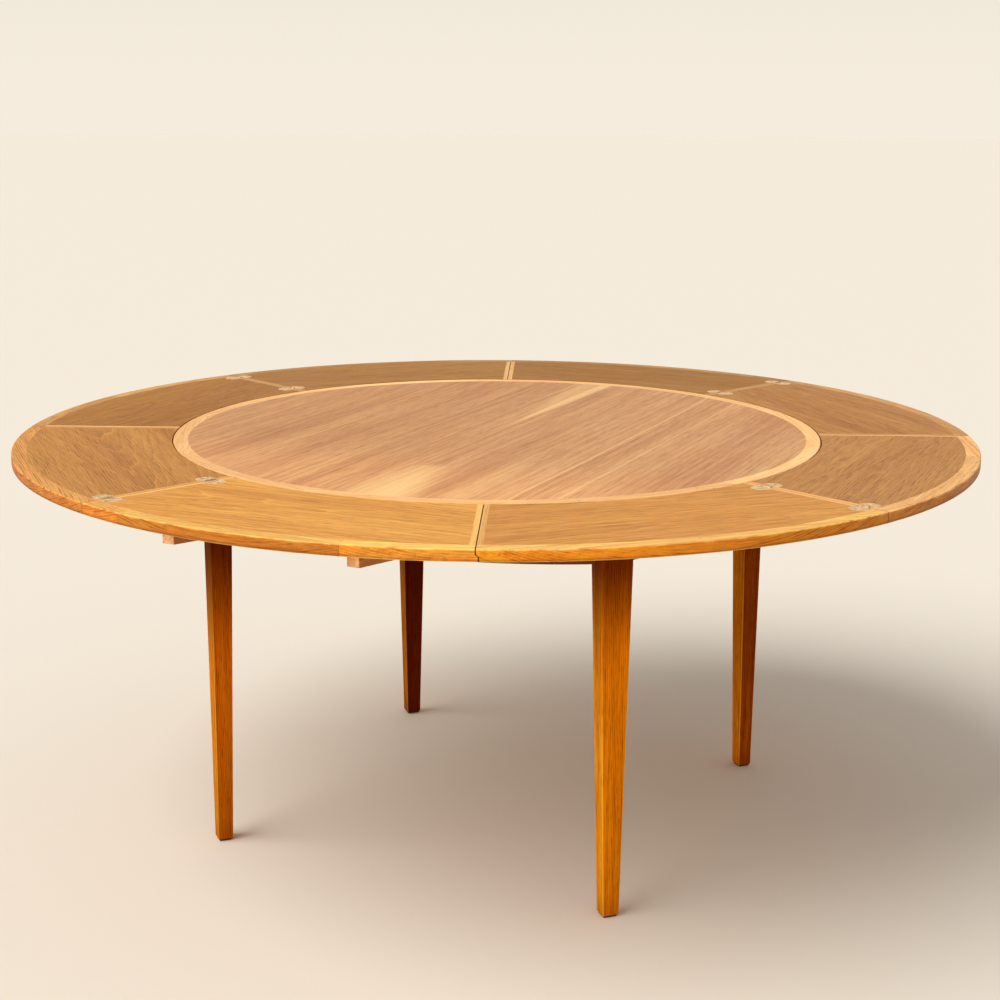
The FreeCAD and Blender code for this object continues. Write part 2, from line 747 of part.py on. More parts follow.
leaf_plate = leaf_hinge_master()
flap_plate = flap_hinge_master()
hinge_pin = round_bar("pin_radius", "barrel_length", "-barrel_length / 2")
doc.recompute()
pin_turn = Placement(hinge_pin.Placement)
for side in SIDES:
    leaf_frame = SIDE_ANGLES[side] + HALF_LEAF
    flap_frame = SIDE_ANGLES[side] - HALF_LEAF - LEAF_ANGLE
    ring_panel("leaf_panel_" + side, leaf_frame, -LEAF_ANGLE, 1)
    ring_lipping("leaf_lipping_" + side, leaf_frame, -LEAF_ANGLE, 1, "lip_reach", lip_profile())
    ring_panel("flap_panel_" + side, flap_frame, LEAF_ANGLE, -1)
    ring_lipping("flap_lipping_" + side, flap_frame, LEAF_ANGLE, -1, HALF_SEAM, rebate_profile())
    group("lopers_" + side, [loper(side, lateral) for lateral in laterals(side)])
    group("loper_pegs_" + side, [loper_peg(side, lateral) for lateral in laterals(side)])
    group("leaf_hinges_" + side, [copy_of(leaf_plate, place) for place in hinge_places(side)])
    group("flap_hinges_" + side, [copy_of(flap_plate, place) for place in hinge_places(side)])
    group("hinge_pins_" + side, [copy_of(hinge_pin, place * pin_turn) for place in hinge_places(side)])
doc.recompute()

for item in doc.Objects:
    if "Invalid" in item.State or "Error" in item.State:
        raise RuntimeError("%s did not build" % item.Name)
for piece in subparts:
    if piece.Shape.isNull() or not piece.Shape.isValid():
        raise RuntimeError("%s has no valid shape" % piece.Label)
os.makedirs("parts", exist_ok=True)
for piece in subparts:
    piece.Shape.exportStep("parts/%s.step" % piece.Label)
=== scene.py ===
import math

import bmesh
import bpy
from mathutils import Matrix, Vector


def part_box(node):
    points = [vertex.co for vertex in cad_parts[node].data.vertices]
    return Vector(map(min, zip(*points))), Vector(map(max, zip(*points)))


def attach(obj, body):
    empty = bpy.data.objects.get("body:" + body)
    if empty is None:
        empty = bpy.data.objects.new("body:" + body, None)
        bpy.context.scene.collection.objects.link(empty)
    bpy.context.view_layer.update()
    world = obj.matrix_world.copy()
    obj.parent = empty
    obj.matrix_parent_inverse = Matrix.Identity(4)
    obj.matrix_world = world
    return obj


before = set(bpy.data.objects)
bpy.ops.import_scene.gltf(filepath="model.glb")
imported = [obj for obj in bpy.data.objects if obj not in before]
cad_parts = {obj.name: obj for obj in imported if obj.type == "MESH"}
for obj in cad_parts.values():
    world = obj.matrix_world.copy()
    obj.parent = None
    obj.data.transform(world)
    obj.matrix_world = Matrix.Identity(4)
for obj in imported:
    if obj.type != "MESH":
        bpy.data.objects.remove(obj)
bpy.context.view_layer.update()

# Directions of the four sides and the four legs, and half the angle of a leaf, in degrees
SIDE_ANGLES = {"front": -90.0, "right": 0.0, "back": 90.0, "left": 180.0}
LEG_ANGLES = {"front": -45.0, "right": 45.0, "back": 135.0, "left": 225.0}
HALF_LEAF = 22.5

# Heights and radii of the table in metres, as the frame gives them
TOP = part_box("centre_panel")[1].z
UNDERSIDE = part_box("centre_panel")[0].z
RING_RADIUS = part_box("leaf_lipping_right")[1].x
RIM_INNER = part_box("leaf_panel_right")[1].x
DISC_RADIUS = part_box("centre_lipping")[1].x


# Colour and node helpers

def tone(red, green, blue):
    """Linear colour of a display colour given in 0 to 255."""
    def linear(part):
        part /= 255.0
        return part / 12.92 if part <= 0.04045 else ((part + 0.055) / 1.055) ** 2.4
    return (linear(red), linear(green), linear(blue), 1.0)


def shade(colour, factor, warmth=1.0):
    """A colour made lighter or darker, and warmer as it loses green and blue."""
    red, green, blue, _ = colour
    parts = (red * factor, green * factor / warmth, blue * factor / warmth ** 2)
    return tuple(min(part, 1.0) for part in parts) + (1.0,)


def ratio(colour, base):
    """Factors that turn the base into the colour."""
    return [part / base_part for part, base_part in zip(colour, base)]


class Tree:
    """A material's node tree, with short calls for the nodes that the finishes share."""

    def __init__(self, name):
        self.material = bpy.data.materials.new(name)
        self.material.use_nodes = True
        self.tree = self.material.node_tree
        self.shader = self.tree.nodes["Principled BSDF"]
        self.coordinates = self.node("ShaderNodeTexCoord").outputs
        self.place = self.coordinates["Object"]

    def node(self, kind, values=(), **settings):
        """A new node with its settings, and with its inputs set or linked."""
        made = self.tree.nodes.new(kind)
        for key, setting in settings.items():
            setattr(made, key, setting)
        for key, entry in dict(values).items():
            self.feed(made.inputs[key], entry)
        return made

    def feed(self, socket, entry):
        """Link a socket to another node's output, or set its value."""
        if isinstance(entry, bpy.types.NodeSocket):
            self.tree.links.new(entry, socket)
        else:
            socket.default_value = entry

    def math(self, operation, first, second=0.0, third=0.0):
        made = self.node("ShaderNodeMath", operation=operation)
        for socket, entry in zip(made.inputs, (first, second, third)):
            self.feed(socket, entry)
        return made.outputs[0]

    def times(self, first, second):
        return self.math("MULTIPLY", first, second)

    def minus(self, first, second):
        return self.math("SUBTRACT", first, second)

    def most(self, first, second):
        return self.math("MAXIMUM", first, second)

    def apart(self, first, second):
        return self.math("ABSOLUTE", self.minus(first, second))

    def mapped(self, vector, scale=(1.0, 1.0, 1.0), shift=(0.0, 0.0, 0.0), turn=(0.0, 0.0, 0.0)):
        inputs = {"Vector": vector, "Scale": scale, "Location": shift, "Rotation": turn}
        return self.node("ShaderNodeMapping", inputs).outputs[0]

    def split(self, vector):
        return self.node("ShaderNodeSeparateXYZ", {"Vector": vector}).outputs

    def join(self, x, y, z):
        return self.node("ShaderNodeCombineXYZ", {"X": x, "Y": y, "Z": z}).outputs[0]

    def length(self, vector):
        return self.node("ShaderNodeVectorMath", {0: vector}, operation="LENGTH").outputs["Value"]

    def noise(self, vector, detail=2.0, roughness=0.5, distortion=0.0):
        inputs = {"Vector": vector, "Scale": 1.0, "Detail": detail}
        inputs.update({"Roughness": roughness, "Distortion": distortion})
        return self.node("ShaderNodeTexNoise", inputs).outputs["Fac"]

    def random(self, number):
        return self.node("ShaderNodeTexWhiteNoise", {"W": number}, noise_dimensions="1D").outputs["Value"]

    def span(self, entry, low, high, to_low=0.0, to_high=1.0):
        """A smooth step between two values as the entry goes from low to high."""
        inputs = {"Value": entry, "From Min": low, "From Max": high, "To Min": to_low, "To Max": to_high}
        return self.node("ShaderNodeMapRange", inputs, interpolation_type="SMOOTHSTEP").outputs[0]

    def ramp(self, factor, stops):
        made = self.node("ShaderNodeValToRGB", {"Fac": factor})
        band = made.color_ramp
        while len(band.elements) < len(stops):
            band.elements.new(1.0)
        for element, (position, colour) in zip(band.elements, stops):
            element.position = position
            element.color = colour
        return made.outputs["Color"]

    def blend(self, kind, factor, first, second, mode="MIX"):
        names = {"RGBA": "Color", "VECTOR": "Vector"}
        made = self.node("ShaderNodeMix", data_type=kind, blend_type=mode)
        entries = {"Factor_Float": factor, "A_" + names[kind]: first, "B_" + names[kind]: second}
        for socket in made.inputs:
            if socket.identifier in entries:
                self.feed(socket, entries[socket.identifier])
        return next(item for item in made.outputs if item.identifier == "Result_" + names[kind])

    def mix(self, factor, first, second):
        return self.blend("RGBA", factor, first, second)

    def tint(self, colour, factors):
        """A colour with its parts multiplied by the factors."""
        return self.blend("RGBA", 1.0, colour, factors, "MULTIPLY")

    def dim(self, colour, factor):
        return self.tint(colour, self.join(factor, factor, factor))

    def bump(self, height, strength, distance):
        inputs = {"Height": height, "Strength": strength, "Distance": distance}
        self.feed(self.shader.inputs["Normal"], self.node("ShaderNodeBump", inputs).outputs[0])


# Woods

# Turn of the texture that lays its grain upright
UPRIGHT = (0.0, math.pi / 2, 0.0)
# Scales of the noise in the wood, along the grain and twice across it
RING_DRIFT = (1.1, 5.0, 5.0)
RING_RIPPLE = (7.0, 34.0, 34.0)
ROW_SWAY = (2.6, 26.0, 26.0)
BROAD_FIGURE = (0.8, 13.0, 13.0)
NARROW_FIGURE = (2.0, 110.0, 110.0)
FIBRES = (10.0, 480.0, 480.0)
FINE_PORES = (26.0, 1000.0, 1000.0)
# How far the noise moves from one seed to the next
SEED_SHIFT = (3.7, 1.3, 0.7)
# How far the rings drift and ripple, in ring spacings, and the rows of pores sway, in rows
DRIFT_REACH = 7.0
RIPPLE_REACH = 1.6
SWAY_REACH = 3.4
# Parts of a ring where the early wood darkens and the pale line fades, and the weight of the faintest ring
EARLY_PART = (0.30, 1.0)
PALE_PART = (0.18, 0.02)
FAINTEST_RING = 0.25
# A row of pores: its dark core and the pale wood beside it, in parts of a row from its middle, where it
# comes and goes, how far this is stretched along the grain, and the jump of the noise to the next row
ROW_CORE = (0.42, 0.10)
ROW_SIDE = (0.30, 0.46)
ROW_COMES = (0.42, 0.70)
ROW_STRETCH = 0.10
ROW_JUMP = 7.31
# Figure of the wood: its dark, middle and light stop, the spread of the fibres, the share of fine pores,
# the strength of early wood, fine pores and all pores, and what is left of the pores in the late wood
FIGURE_STOPS = (0.36, 0.50, 0.64)
FIBRE_SPREAD = (0.25, 0.75)
FINE_SHARE = (0.52, 0.66)
EARLY_STRENGTH = 0.3
FINE_STRENGTH = 0.5
PORE_STRENGTH = 1.2
LATE_PORES = 0.65
# What the darkest and the palest fibres do to the colour of the wood
DARK_FIBRE = (0.88, 0.855, 0.75, 1.0)
LIGHT_FIBRE = (1.11, 1.135, 1.23, 1.0)
# Change of lightness and warmth in dark and in light streaks, at a strength of one
DARK_STREAK = (-1.7, 1.5)
LIGHT_STREAK = (1.5, -1.0)
# Lightness and warmth of the parts of the grain, against the colour of the wood
EARLY_WOOD = (0.52, 1.25)
PALE_LINE = (1.34, 0.92)
OPEN_PORE = (0.28, 1.5)
PALE_ROW = (1.42, 0.88)
# The oiled finish: places that hands have worn, how dull these and the open pores are, and the pores' relief
HAND_WEAR = (5.0, 5.0, 9.0)
WORN_ROUGHNESS = 0.16
PORE_ROUGHNESS = 0.12
PORE_RELIEF = 0.25
PORE_DEPTH = 0.0004


def spin(angle):
    """Turn of the texture that lays its grain along a level direction."""
    return (0.0, 0.0, -math.radians(angle))


def growth_lines(tree, along, seed, heart, spacing, taper):
    """Dark early wood and the pale line after it, on rings that taper along the grain like a log."""
    x, y, z = tree.split(along)
    heart_y, heart_z = heart
    from_heart = tree.join(0.0, tree.minus(y, heart_y), tree.minus(z, heart_z))
    radius = tree.math("MULTIPLY_ADD", x, taper, tree.length(from_heart))
    shift = (seed, seed, seed)
    drift = tree.noise(tree.mapped(along, RING_DRIFT, shift), detail=1.0)
    ripple = tree.noise(tree.mapped(along, RING_RIPPLE, shift), detail=3.0)
    wavy = tree.math("MULTIPLY_ADD", drift, DRIFT_REACH * spacing, radius)
    wavy = tree.math("MULTIPLY_ADD", ripple, RIPPLE_REACH * spacing, wavy)
    turns = tree.math("DIVIDE", wavy, spacing)
    past = tree.math("FRACT", turns)
    pick = tree.random(tree.math("ADD", tree.math("FLOOR", turns), seed))
    weight = tree.span(pick, 0.0, 1.0, FAINTEST_RING, 1.0)
    early = tree.times(tree.span(past, *EARLY_PART), weight)
    pale = tree.times(tree.span(past, *PALE_PART), weight)
    return early, pale


def pore_rows(tree, along, seed, density):
    """Rows of dark pores along the grain that come and go, and the pale wood between the rows."""
    sway = tree.noise(tree.mapped(along, ROW_SWAY, (seed, seed, seed)))
    x, y, z = tree.split(along)
    rows = tree.math("MULTIPLY_ADD", tree.math("ADD", y, z), density, tree.times(sway, SWAY_REACH))
    row = tree.math("FLOOR", rows)
    aside = tree.apart(tree.math("FRACT", rows), 0.5)
    reach = tree.times(x, ROW_STRETCH * density)
    depth = tree.noise(tree.join(reach, tree.times(row, ROW_JUMP), seed))
    dark = tree.times(tree.span(aside, *ROW_CORE), tree.span(depth, *ROW_COMES))
    between = tree.times(tree.span(aside, *ROW_SIDE), tree.random(tree.math("ADD", row, seed)))
    return dark, between


def grain(tree, along, base, seed, heart, spacing, taper, rings, streaks, pores, density):
    """Colour and open pores of a board whose grain runs along the x axis of the vector."""
    shift = tuple(seed * part for part in SEED_SHIFT)
    early, pale = growth_lines(tree, along, seed, heart, spacing, taper)
    broad = tree.noise(tree.mapped(along, BROAD_FIGURE, shift), detail=3.0, roughness=0.6, distortion=0.3)
    narrow = tree.noise(tree.mapped(along, NARROW_FIGURE, shift), detail=3.0, roughness=0.6)
    fibre = tree.noise(tree.mapped(along, FIBRES, shift), roughness=0.6)
    dark, light = (
        shade(base, 1.0 + lighter * streaks, 1.0 + warmer * streaks)
        for lighter, warmer in (DARK_STREAK, LIGHT_STREAK)
    )
    figure = tree.math("MULTIPLY_ADD", narrow, 0.5, tree.times(broad, 0.5))
    colour = tree.ramp(figure, list(zip(FIGURE_STOPS, (dark, base, light))))
    colour = tree.tint(colour, tree.mix(tree.span(fibre, *FIBRE_SPREAD), DARK_FIBRE, LIGHT_FIBRE))
    colour = tree.mix(tree.times(early, EARLY_STRENGTH * rings), colour, shade(base, *EARLY_WOOD))
    colour = tree.mix(tree.times(pale, rings), colour, shade(base, *PALE_LINE))
    fine = tree.noise(tree.mapped(along, FINE_PORES, shift), roughness=0.7)
    fine_pores = tree.times(tree.span(fine, *FINE_SHARE), FINE_STRENGTH)
    long_pores, between = pore_rows(tree, along, seed, density)
    by_ring = tree.math("MULTIPLY_ADD", early, 1.0 - LATE_PORES, LATE_PORES)
    open_pores = tree.times(tree.most(fine_pores, long_pores), by_ring)
    colour = tree.mix(tree.times(open_pores, PORE_STRENGTH * pores), colour, shade(base, *OPEN_PORE))
    colour = tree.mix(tree.times(between, pores), colour, shade(base, *PALE_ROW))
    return colour, open_pores


def finish_wood(tree, colour, pores, roughness, gloss):
    """Thin oiled finish, duller where the pores are open and where hands have worn it."""
    worn = tree.noise(tree.mapped(tree.place, HAND_WEAR), detail=3.0)
    rough = tree.math("MULTIPLY_ADD", worn, WORN_ROUGHNESS, roughness - WORN_ROUGHNESS / 2)
    tree.feed(tree.shader.inputs["Base Color"], colour)
    tree.feed(tree.shader.inputs["Roughness"], tree.math("MULTIPLY_ADD", pores, PORE_ROUGHNESS, rough))
    tree.shader.inputs["Specular IOR Level"].default_value = gloss
    tree.bump(tree.minus(1.0, pores), PORE_RELIEF, PORE_DEPTH)
    return tree.material


# Cuts of the wood: ring spacing and taper, strength of rings, streaks and pores, rows of pores in a metre
LEAF_CUT = dict(spacing=0.016, taper=0.12, rings=0.42, streaks=0.09, pores=0.54, density=230.0)
DISC_CUT = dict(spacing=0.0095, taper=0.02, rings=0.18, streaks=0.13, pores=0.38, density=210.0)
RIM_CUT = dict(spacing=0.0055, taper=0.0, rings=0.22, streaks=0.14, pores=0.56, density=250.0)
DISC_RIM_CUT = dict(spacing=0.0055, taper=0.0, rings=0.20, streaks=0.08, pores=0.26, density=250.0)
LEG_CUT = dict(spacing=0.0060, taper=0.02, rings=0.26, streaks=0.19, pores=0.72, density=330.0)
BOARD_CUT = dict(spacing=0.0065, taper=0.02, rings=0.26, streaks=0.16, pores=0.40, density=280.0)
# One flap shows more of the pale lines between the rings
LEAF_CUTS = {"flap_front": dict(LEAF_CUT, spacing=0.012, rings=0.80, pores=0.44)}

# Colours of the veneer and of the rim, leaf by leaf: partly the wood's own tones, partly painted light
# that makes the front leaves lighter and the back ones darker
LEAF_COLOURS_AND_LIGHT = {
    "leaf_front": tone(222, 155, 66), "flap_right": tone(206, 140, 62), "leaf_right": tone(182, 125, 63),
    "flap_back": tone(178, 120, 58), "leaf_back": tone(160, 107, 37), "flap_left": tone(164, 109, 41),
    "leaf_left": tone(167, 108, 36), "flap_front": tone(186, 124, 51),
}
RIM_COLOURS_AND_LIGHT = {
    "leaf_front": tone(247, 183, 89), "flap_right": tone(250, 186, 96), "leaf_right": tone(238, 177, 108),
    "flap_back": tone(204, 147, 84), "leaf_back": tone(178, 126, 66), "flap_left": tone(186, 132, 70),
    "leaf_left": tone(206, 147, 74), "flap_front": tone(212, 147, 71),
}
# Strips along the lipped and the hinged seam of each leaf
STRIP_COLOURS = {
    "leaf_front": (tone(245, 186, 100), tone(240, 180, 96)),
    "flap_right": (tone(228, 166, 92), tone(248, 182, 104)),
    "leaf_right": (tone(234, 178, 108), tone(240, 174, 100)),
    "flap_back": (tone(208, 152, 90), tone(200, 148, 90)),
    "leaf_back": (tone(226, 170, 102), tone(196, 144, 82)),
    "flap_left": (tone(226, 170, 102), tone(192, 140, 80)),
    "leaf_left": (tone(242, 190, 114), tone(198, 146, 84)),
    "flap_front": (tone(206, 146, 80), tone(226, 164, 90)),
}
DISC_COLOUR = tone(195, 135, 80)
DISC_RIM = tone(246, 187, 122)
SAPWOOD = tone(254, 208, 138)
# Oak of the aprons and the crossed rails, darker than the legs as painted shade under the top
APRON_COLOUR_AND_SHADE = tone(120, 62, 18)
# Beech of the bearers, its tone also standing for painted shade on the lopers' sides; their end faces with
# painted light
BEARER_COLOUR = tone(176, 112, 56)
BEARER_LIT_END = tone(250, 188, 132)
GUIDE_COLOUR = tone(176, 118, 62)
# Dark colour of dirt and painted shade in the seams, the butt joints and the gap round the disc
SEAM_DIRT_AND_SHADE = tone(64, 34, 14)


# Veneers

# The heart of a leaf's log: how deep it lies below the top, and how it wanders from leaf to leaf
HEART_DEPTH = 0.03
HEART_WANDER = 0.05
HEART_STEP = 1.7
# Seed of the disc's veneer and the heart of its log
DISC_SEED = 2.0
DISC_HEART = (0.9, TOP)
# Torn edge and wandering centre of the sapwood: noise along and across the grain, and how far it wanders
TORN_EDGE = (5.0, 190.0, 190.0)
WANDER = (3.0, 0.4, 0.4)
WANDER_REACH = 0.020
# Half widths over which a streak of sapwood appears, and how much of it covers the wood
STREAK_APPEARS = (0.0005, 0.006)
SAPWOOD_COVER = 0.85
# Streaks of pale sapwood on the disc: half width, centre line on x and strength, each one value or two
# places on y and the values there, then the width of the torn edge, and whether the streak wanders
SAPWOOD_STREAKS = (
    # A narrow streak from the back edge that thins out past the middle, and a glow along it
    dict(half=(-0.16, 0.56, 0.001, 0.013), centre=(-0.10, 0.56, 0.0, -0.010),
         strength=(-0.20, 0.20, 0.1, 0.64), torn=0.009, wanders=True),
    dict(half=(0.10, 0.58, 0.0, 0.034), centre=(0.10, 0.58, -0.012, -0.034),
         strength=0.32, torn=0.026, wanders=True),
    # A broad patch at the front, and a fainter band to its right
    dict(half=(-0.27, -0.55, 0.0, 0.052), centre=(-0.27, -0.58, 0.026, 0.052),
         strength=0.85, torn=0.085, wanders=False),
    dict(half=(-0.16, -0.54, 0.0, 0.030), centre=0.165, strength=0.30, torn=0.060, wanders=False),
)
# Hair lines of light wood to the right of the middle: place on x and strength, and their soft edge
HAIR_LINES = ((0.235, 0.36), (0.301, 0.28))
HAIR_EDGE = (0.0042, 0.0010)
# The disc has painted light that makes it lighter towards its front, and it is cooler towards its right:
# places and the tones there
DISC_FRONT_PAINTED_LIGHT = (-0.15, -0.50, 1.0, 1.28)
DISC_ACROSS = (-0.50, 0.55)
DISC_LEFT_TINT = (0.97, 0.95, 0.89, 1.0)
DISC_RIGHT_TINT = (1.07, 1.11, 1.18, 1.0)


def leaf_veneer(name, angle, seed):
    """Oak veneer of one leaf, its grain along the chord of the leaf."""
    tree = Tree("veneer_" + name)
    along = tree.mapped(tree.place, turn=spin(angle + 90.0))
    middle = -(RIM_INNER + DISC_RADIUS) / 2
    heart = (middle + HEART_WANDER * math.sin(seed * HEART_STEP), TOP - HEART_DEPTH)
    colour, pores = grain(tree, along, LEAF_COLOURS_AND_LIGHT[name], seed, heart, **LEAF_CUTS.get(name, LEAF_CUT))
    return finish_wood(tree, colour, pores, roughness=0.52, gloss=0.20)


def torn_band(tree, across, centre, half, ragged, torn):
    """Mask of a band about a centre line, with a torn edge."""
    reach = tree.math("MULTIPLY_ADD", ragged, torn, half)
    inside = tree.minus(reach, tree.apart(across, centre))
    return tree.times(tree.span(inside, 0.0, torn), tree.span(half, *STREAK_APPEARS))


def disc_sapwood(tree, along):
    """Mask of the pale sapwood on the centre disc."""
    x, y, _ = tree.split(tree.place)
    ragged = tree.noise(tree.mapped(along, TORN_EDGE), detail=3.0, roughness=0.6)
    sway = tree.noise(tree.mapped(along, WANDER), detail=1.0)
    wander = tree.math("MULTIPLY_ADD", sway, WANDER_REACH, -WANDER_REACH / 2)

    def along_y(entry):
        return tree.span(y, *entry) if isinstance(entry, tuple) else entry

    pale = 0.0
    for streak in SAPWOOD_STREAKS:
        centre = along_y(streak["centre"])
        if streak["wanders"]:
            centre = tree.math("ADD", centre, wander)
        band = torn_band(tree, x, centre, along_y(streak["half"]), ragged, streak["torn"])
        pale = tree.most(pale, tree.times(band, along_y(streak["strength"])))
    for place, strength in HAIR_LINES:
        aside = tree.apart(tree.math("ADD", x, wander), place)
        pale = tree.most(pale, tree.times(tree.span(aside, *HAIR_EDGE), strength))
    return tree.times(pale, SAPWOOD_COVER)


def disc_veneer():
    """Veneer of the centre disc: straight grain along y, with pale sapwood down the middle."""
    tree = Tree("veneer_disc")
    along = tree.mapped(tree.place, turn=spin(90.0))
    colour, pores = grain(tree, along, DISC_COLOUR, DISC_SEED, DISC_HEART, **DISC_CUT)
    x, y, _ = tree.split(tree.place)
    # Painted light, lighter towards the front
    colour = tree.dim(colour, tree.span(y, *DISC_FRONT_PAINTED_LIGHT))
    colour = tree.tint(colour, tree.mix(tree.span(x, *DISC_ACROSS), DISC_LEFT_TINT, DISC_RIGHT_TINT))
    colour = tree.mix(disc_sapwood(tree, along), colour, SAPWOOD)
    return finish_wood(tree, colour, pores, roughness=0.46, gloss=0.40)


# Edge bands

# The seam at the far end of a carried leaf steps aside below its top, where its lip runs under the flap
LIP_REACH = 0.004
LIP_HEIGHTS = (TOP - 0.007, TOP - 0.011)
# Dirt and painted shade beside a seam, from its soft edge to its core, its distances and strengths from
# inside the seam to the open corners, and the share of it that a hinged seam has
SEAM_WIDTH = (0.0012, 0.0006)
CORNER_FAR = 0.0030
CORNER_NEAR = 0.0010
CORNER_DIRT_AND_SHADE = (0.15, 0.80)
HINGED_DIRT_AND_SHADE = 0.6
# Dirt and painted shade in the gap round the disc: distance from the disc's edge, heights where it starts
# and ends, strength
GAP_WIDTH = (0.0030, 0.0012)
GAP_STARTS = (TOP - 0.0012, TOP - 0.0028)
GAP_ENDS = (TOP - 0.0080, TOP - 0.0050)
GAP_DIRT_AND_SHADE = 0.70
# Shift of the grain from one piece of a rim to the next, and the heart of the log outside and below the rim
PIECE_SHIFT = 9.0
RIM_HEART_OUT = 0.09
RIM_HEART_DEPTH = 0.05
# Softness of the change from the rim to the strips inside it, and from one strip to the other
RIM_SOFT = 0.0005
STRIP_SOFT = 0.001
# How far the strips lose the figure of the rim
STRIP_PLAINNESS = 0.5
# Tones of the darkest and the palest piece, on the top and on the upright edge
PIECE_TONES = (0.92, 1.05)
EDGE_PIECE_TONES = (0.86, 1.12)
# How level a face is where the upright edge begins, and where it is in full
EDGE_FACES = (0.75, 0.15)
# Butt joints: their width, and how dark they are on the top and on the upright edge
JOINT_WIDTH = (0.0011, 0.0003)
JOINT_DEPTHS = (0.12, 0.32)
# Rubbed places on the outer corner, pale with wear and a painted highlight, and bruised places: reach of the
# rubbed corner, size and share of the places, strength, shades
CORNER_REACH = 0.006
RUB_SCALE = (26.0, 26.0, 26.0)
RUB_SHARE = (0.46, 0.64)
BRUISE_SCALE = (85.0, 85.0, 85.0)
BRUISE_SHIFT = (4.0, 1.0, 2.0)
BRUISE_SHARE = (0.715, 0.76)
RIM_WEAR = 0.45
RUBBED_AND_HIGHLIT = (1.20, 1.0)
BRUISED = (0.35, 1.2)
# Bands where the rings run out on the upright edge: slant, bands along the rim and up it, boldness by piece
BAND_SLANT = -0.8
BANDS_ALONG = 46.0
BANDS_UP = 30.0
BAND_BOLDNESS = (0.2, 1.0, 0.35, 1.10)
# Painted shade and warm bounce light on the upright edge: what it takes from the rim's colour, deeper amber
EDGE_SHADE_AMBER = (0.88, 0.58, 0.22, 1.0)
EDGE_SHADE_AMBERS = {
    "leaf_front": (0.76, 0.43, 0.19, 1.0), "flap_right": (1.06, 0.60, 0.07, 1.0),
    "leaf_right": (0.68, 0.42, 0.11, 1.0), "flap_front": (0.70, 0.48, 0.18, 1.0),
}
# Painted shade on the edge, darkest at its lower arris: heights, and the tones there
LOWER_ARRIS_SHADE = (UNDERSIDE + 0.0015, UNDERSIDE + 0.0065, 0.60, 1.0)
# Painted shade on the edge of one flap, darker towards its far end: places along x, and the tones there
EDGE_SHADE_FADES = {"flap_right": (0.42, 0.84, 1.10, 0.66)}


def radius_of(tree):
    """Distance of a point from the table's upright axis."""
    x, y, _ = tree.split(tree.place)
    return tree.length(tree.join(x, y, 0.0))


def seam_dirt_and_shade(tree, lipped_seam, hinged_seam):
    """Dark line of dirt and painted shade along the two seams of a leaf, strongest at their open corners."""
    x, y, z = tree.split(tree.place)
    step = tree.span(z, *LIP_HEIGHTS, 0.0, LIP_REACH)
    offsets = []
    for angle, aside in ((lipped_seam, step), (hinged_seam, 0.0)):
        turn = math.radians(angle)
        off = tree.math("MULTIPLY_ADD", x, -math.sin(turn), tree.times(y, math.cos(turn)))
        offsets.append(tree.apart(off, aside))
    lipped, hinged = (tree.span(off, *SEAM_WIDTH) for off in offsets)
    near_seam = tree.most(lipped, tree.times(hinged, HINGED_DIRT_AND_SHADE))
    near_top = tree.span(z, TOP - CORNER_FAR, TOP - CORNER_NEAR)
    near_rim = tree.span(radius_of(tree), RING_RADIUS - CORNER_FAR, RING_RADIUS - CORNER_NEAR)
    strength = tree.span(tree.most(near_top, near_rim), 0.0, 1.0, *CORNER_DIRT_AND_SHADE)
    return tree.times(near_seam, strength)


def gap_dirt_and_shade(tree, radius):
    """Dirt and painted shade high on the edge of the centre disc, just below its top corner."""
    z = tree.split(tree.place)[2]
    beside = tree.span(tree.apart(radius_of(tree), radius), *GAP_WIDTH)
    high = tree.times(tree.span(z, *GAP_STARTS), tree.span(z, *GAP_ENDS))
    return tree.times(tree.times(beside, high), GAP_DIRT_AND_SHADE)


def rim_pieces(tree, start, piece_angle, seed):
    """Straight pieces round the rim: grain vector, a number for each piece, and distance to a butt joint."""
    x, y, z = tree.split(tree.place)
    step = math.radians(piece_angle)
    turn = tree.minus(tree.math("ARCTAN2", y, x), math.radians(start))
    part = tree.math("DIVIDE", turn, step)
    number = tree.math("FLOOR", part)
    middle = tree.math("MULTIPLY_ADD", tree.math("ADD", number, 0.5), step, math.radians(start))
    cosine = tree.math("COSINE", middle)
    sine = tree.math("SINE", middle)
    outward = tree.math("MULTIPLY_ADD", x, cosine, tree.times(y, sine))
    around = tree.minus(tree.times(y, cosine), tree.times(x, sine))
    pick = tree.random(tree.math("ADD", number, seed))
    along = tree.join(tree.math("MULTIPLY_ADD", pick, PIECE_SHIFT, around), outward, z)
    past = tree.minus(part, number)
    edge = tree.math("MINIMUM", past, tree.minus(1.0, past))
    return along, pick, tree.times(edge, step * RING_RADIUS)


def strip_grain(tree, seams, on_rim, along):
    """Grain vector with straight strips along the seams inside the rim, and the lipped strip's mask."""
    lipped_strip, hinged_strip = (tree.mapped(tree.place, turn=spin(angle)) for angle in seams)
    aside = tree.split(tree.mapped(tree.place, turn=spin(sum(seams) / 2)))[1]
    lipped_side = 1.0 if seams[0] > seams[1] else -1.0
    on_lipped = tree.span(tree.times(aside, lipped_side), -STRIP_SOFT, STRIP_SOFT)
    strips = tree.blend("VECTOR", on_lipped, hinged_strip, lipped_strip)
    return tree.blend("VECTOR", on_rim, strips, along), on_lipped


def edge_figure(tree, along, pick):
    """Slanting light and dark bands where the rings run out on the upright edge, bolder on some pieces."""
    x, _, z = tree.split(along)
    slant = tree.times(tree.math("MULTIPLY_ADD", z, BAND_SLANT, x), BANDS_ALONG)
    bands = tree.noise(tree.join(slant, tree.times(z, BANDS_UP), 0.0), detail=4.0, roughness=0.65)
    boldness = tree.span(pick, *BAND_BOLDNESS)
    return tree.math("MULTIPLY_ADD", tree.minus(bands, 0.5), boldness, 1.0)


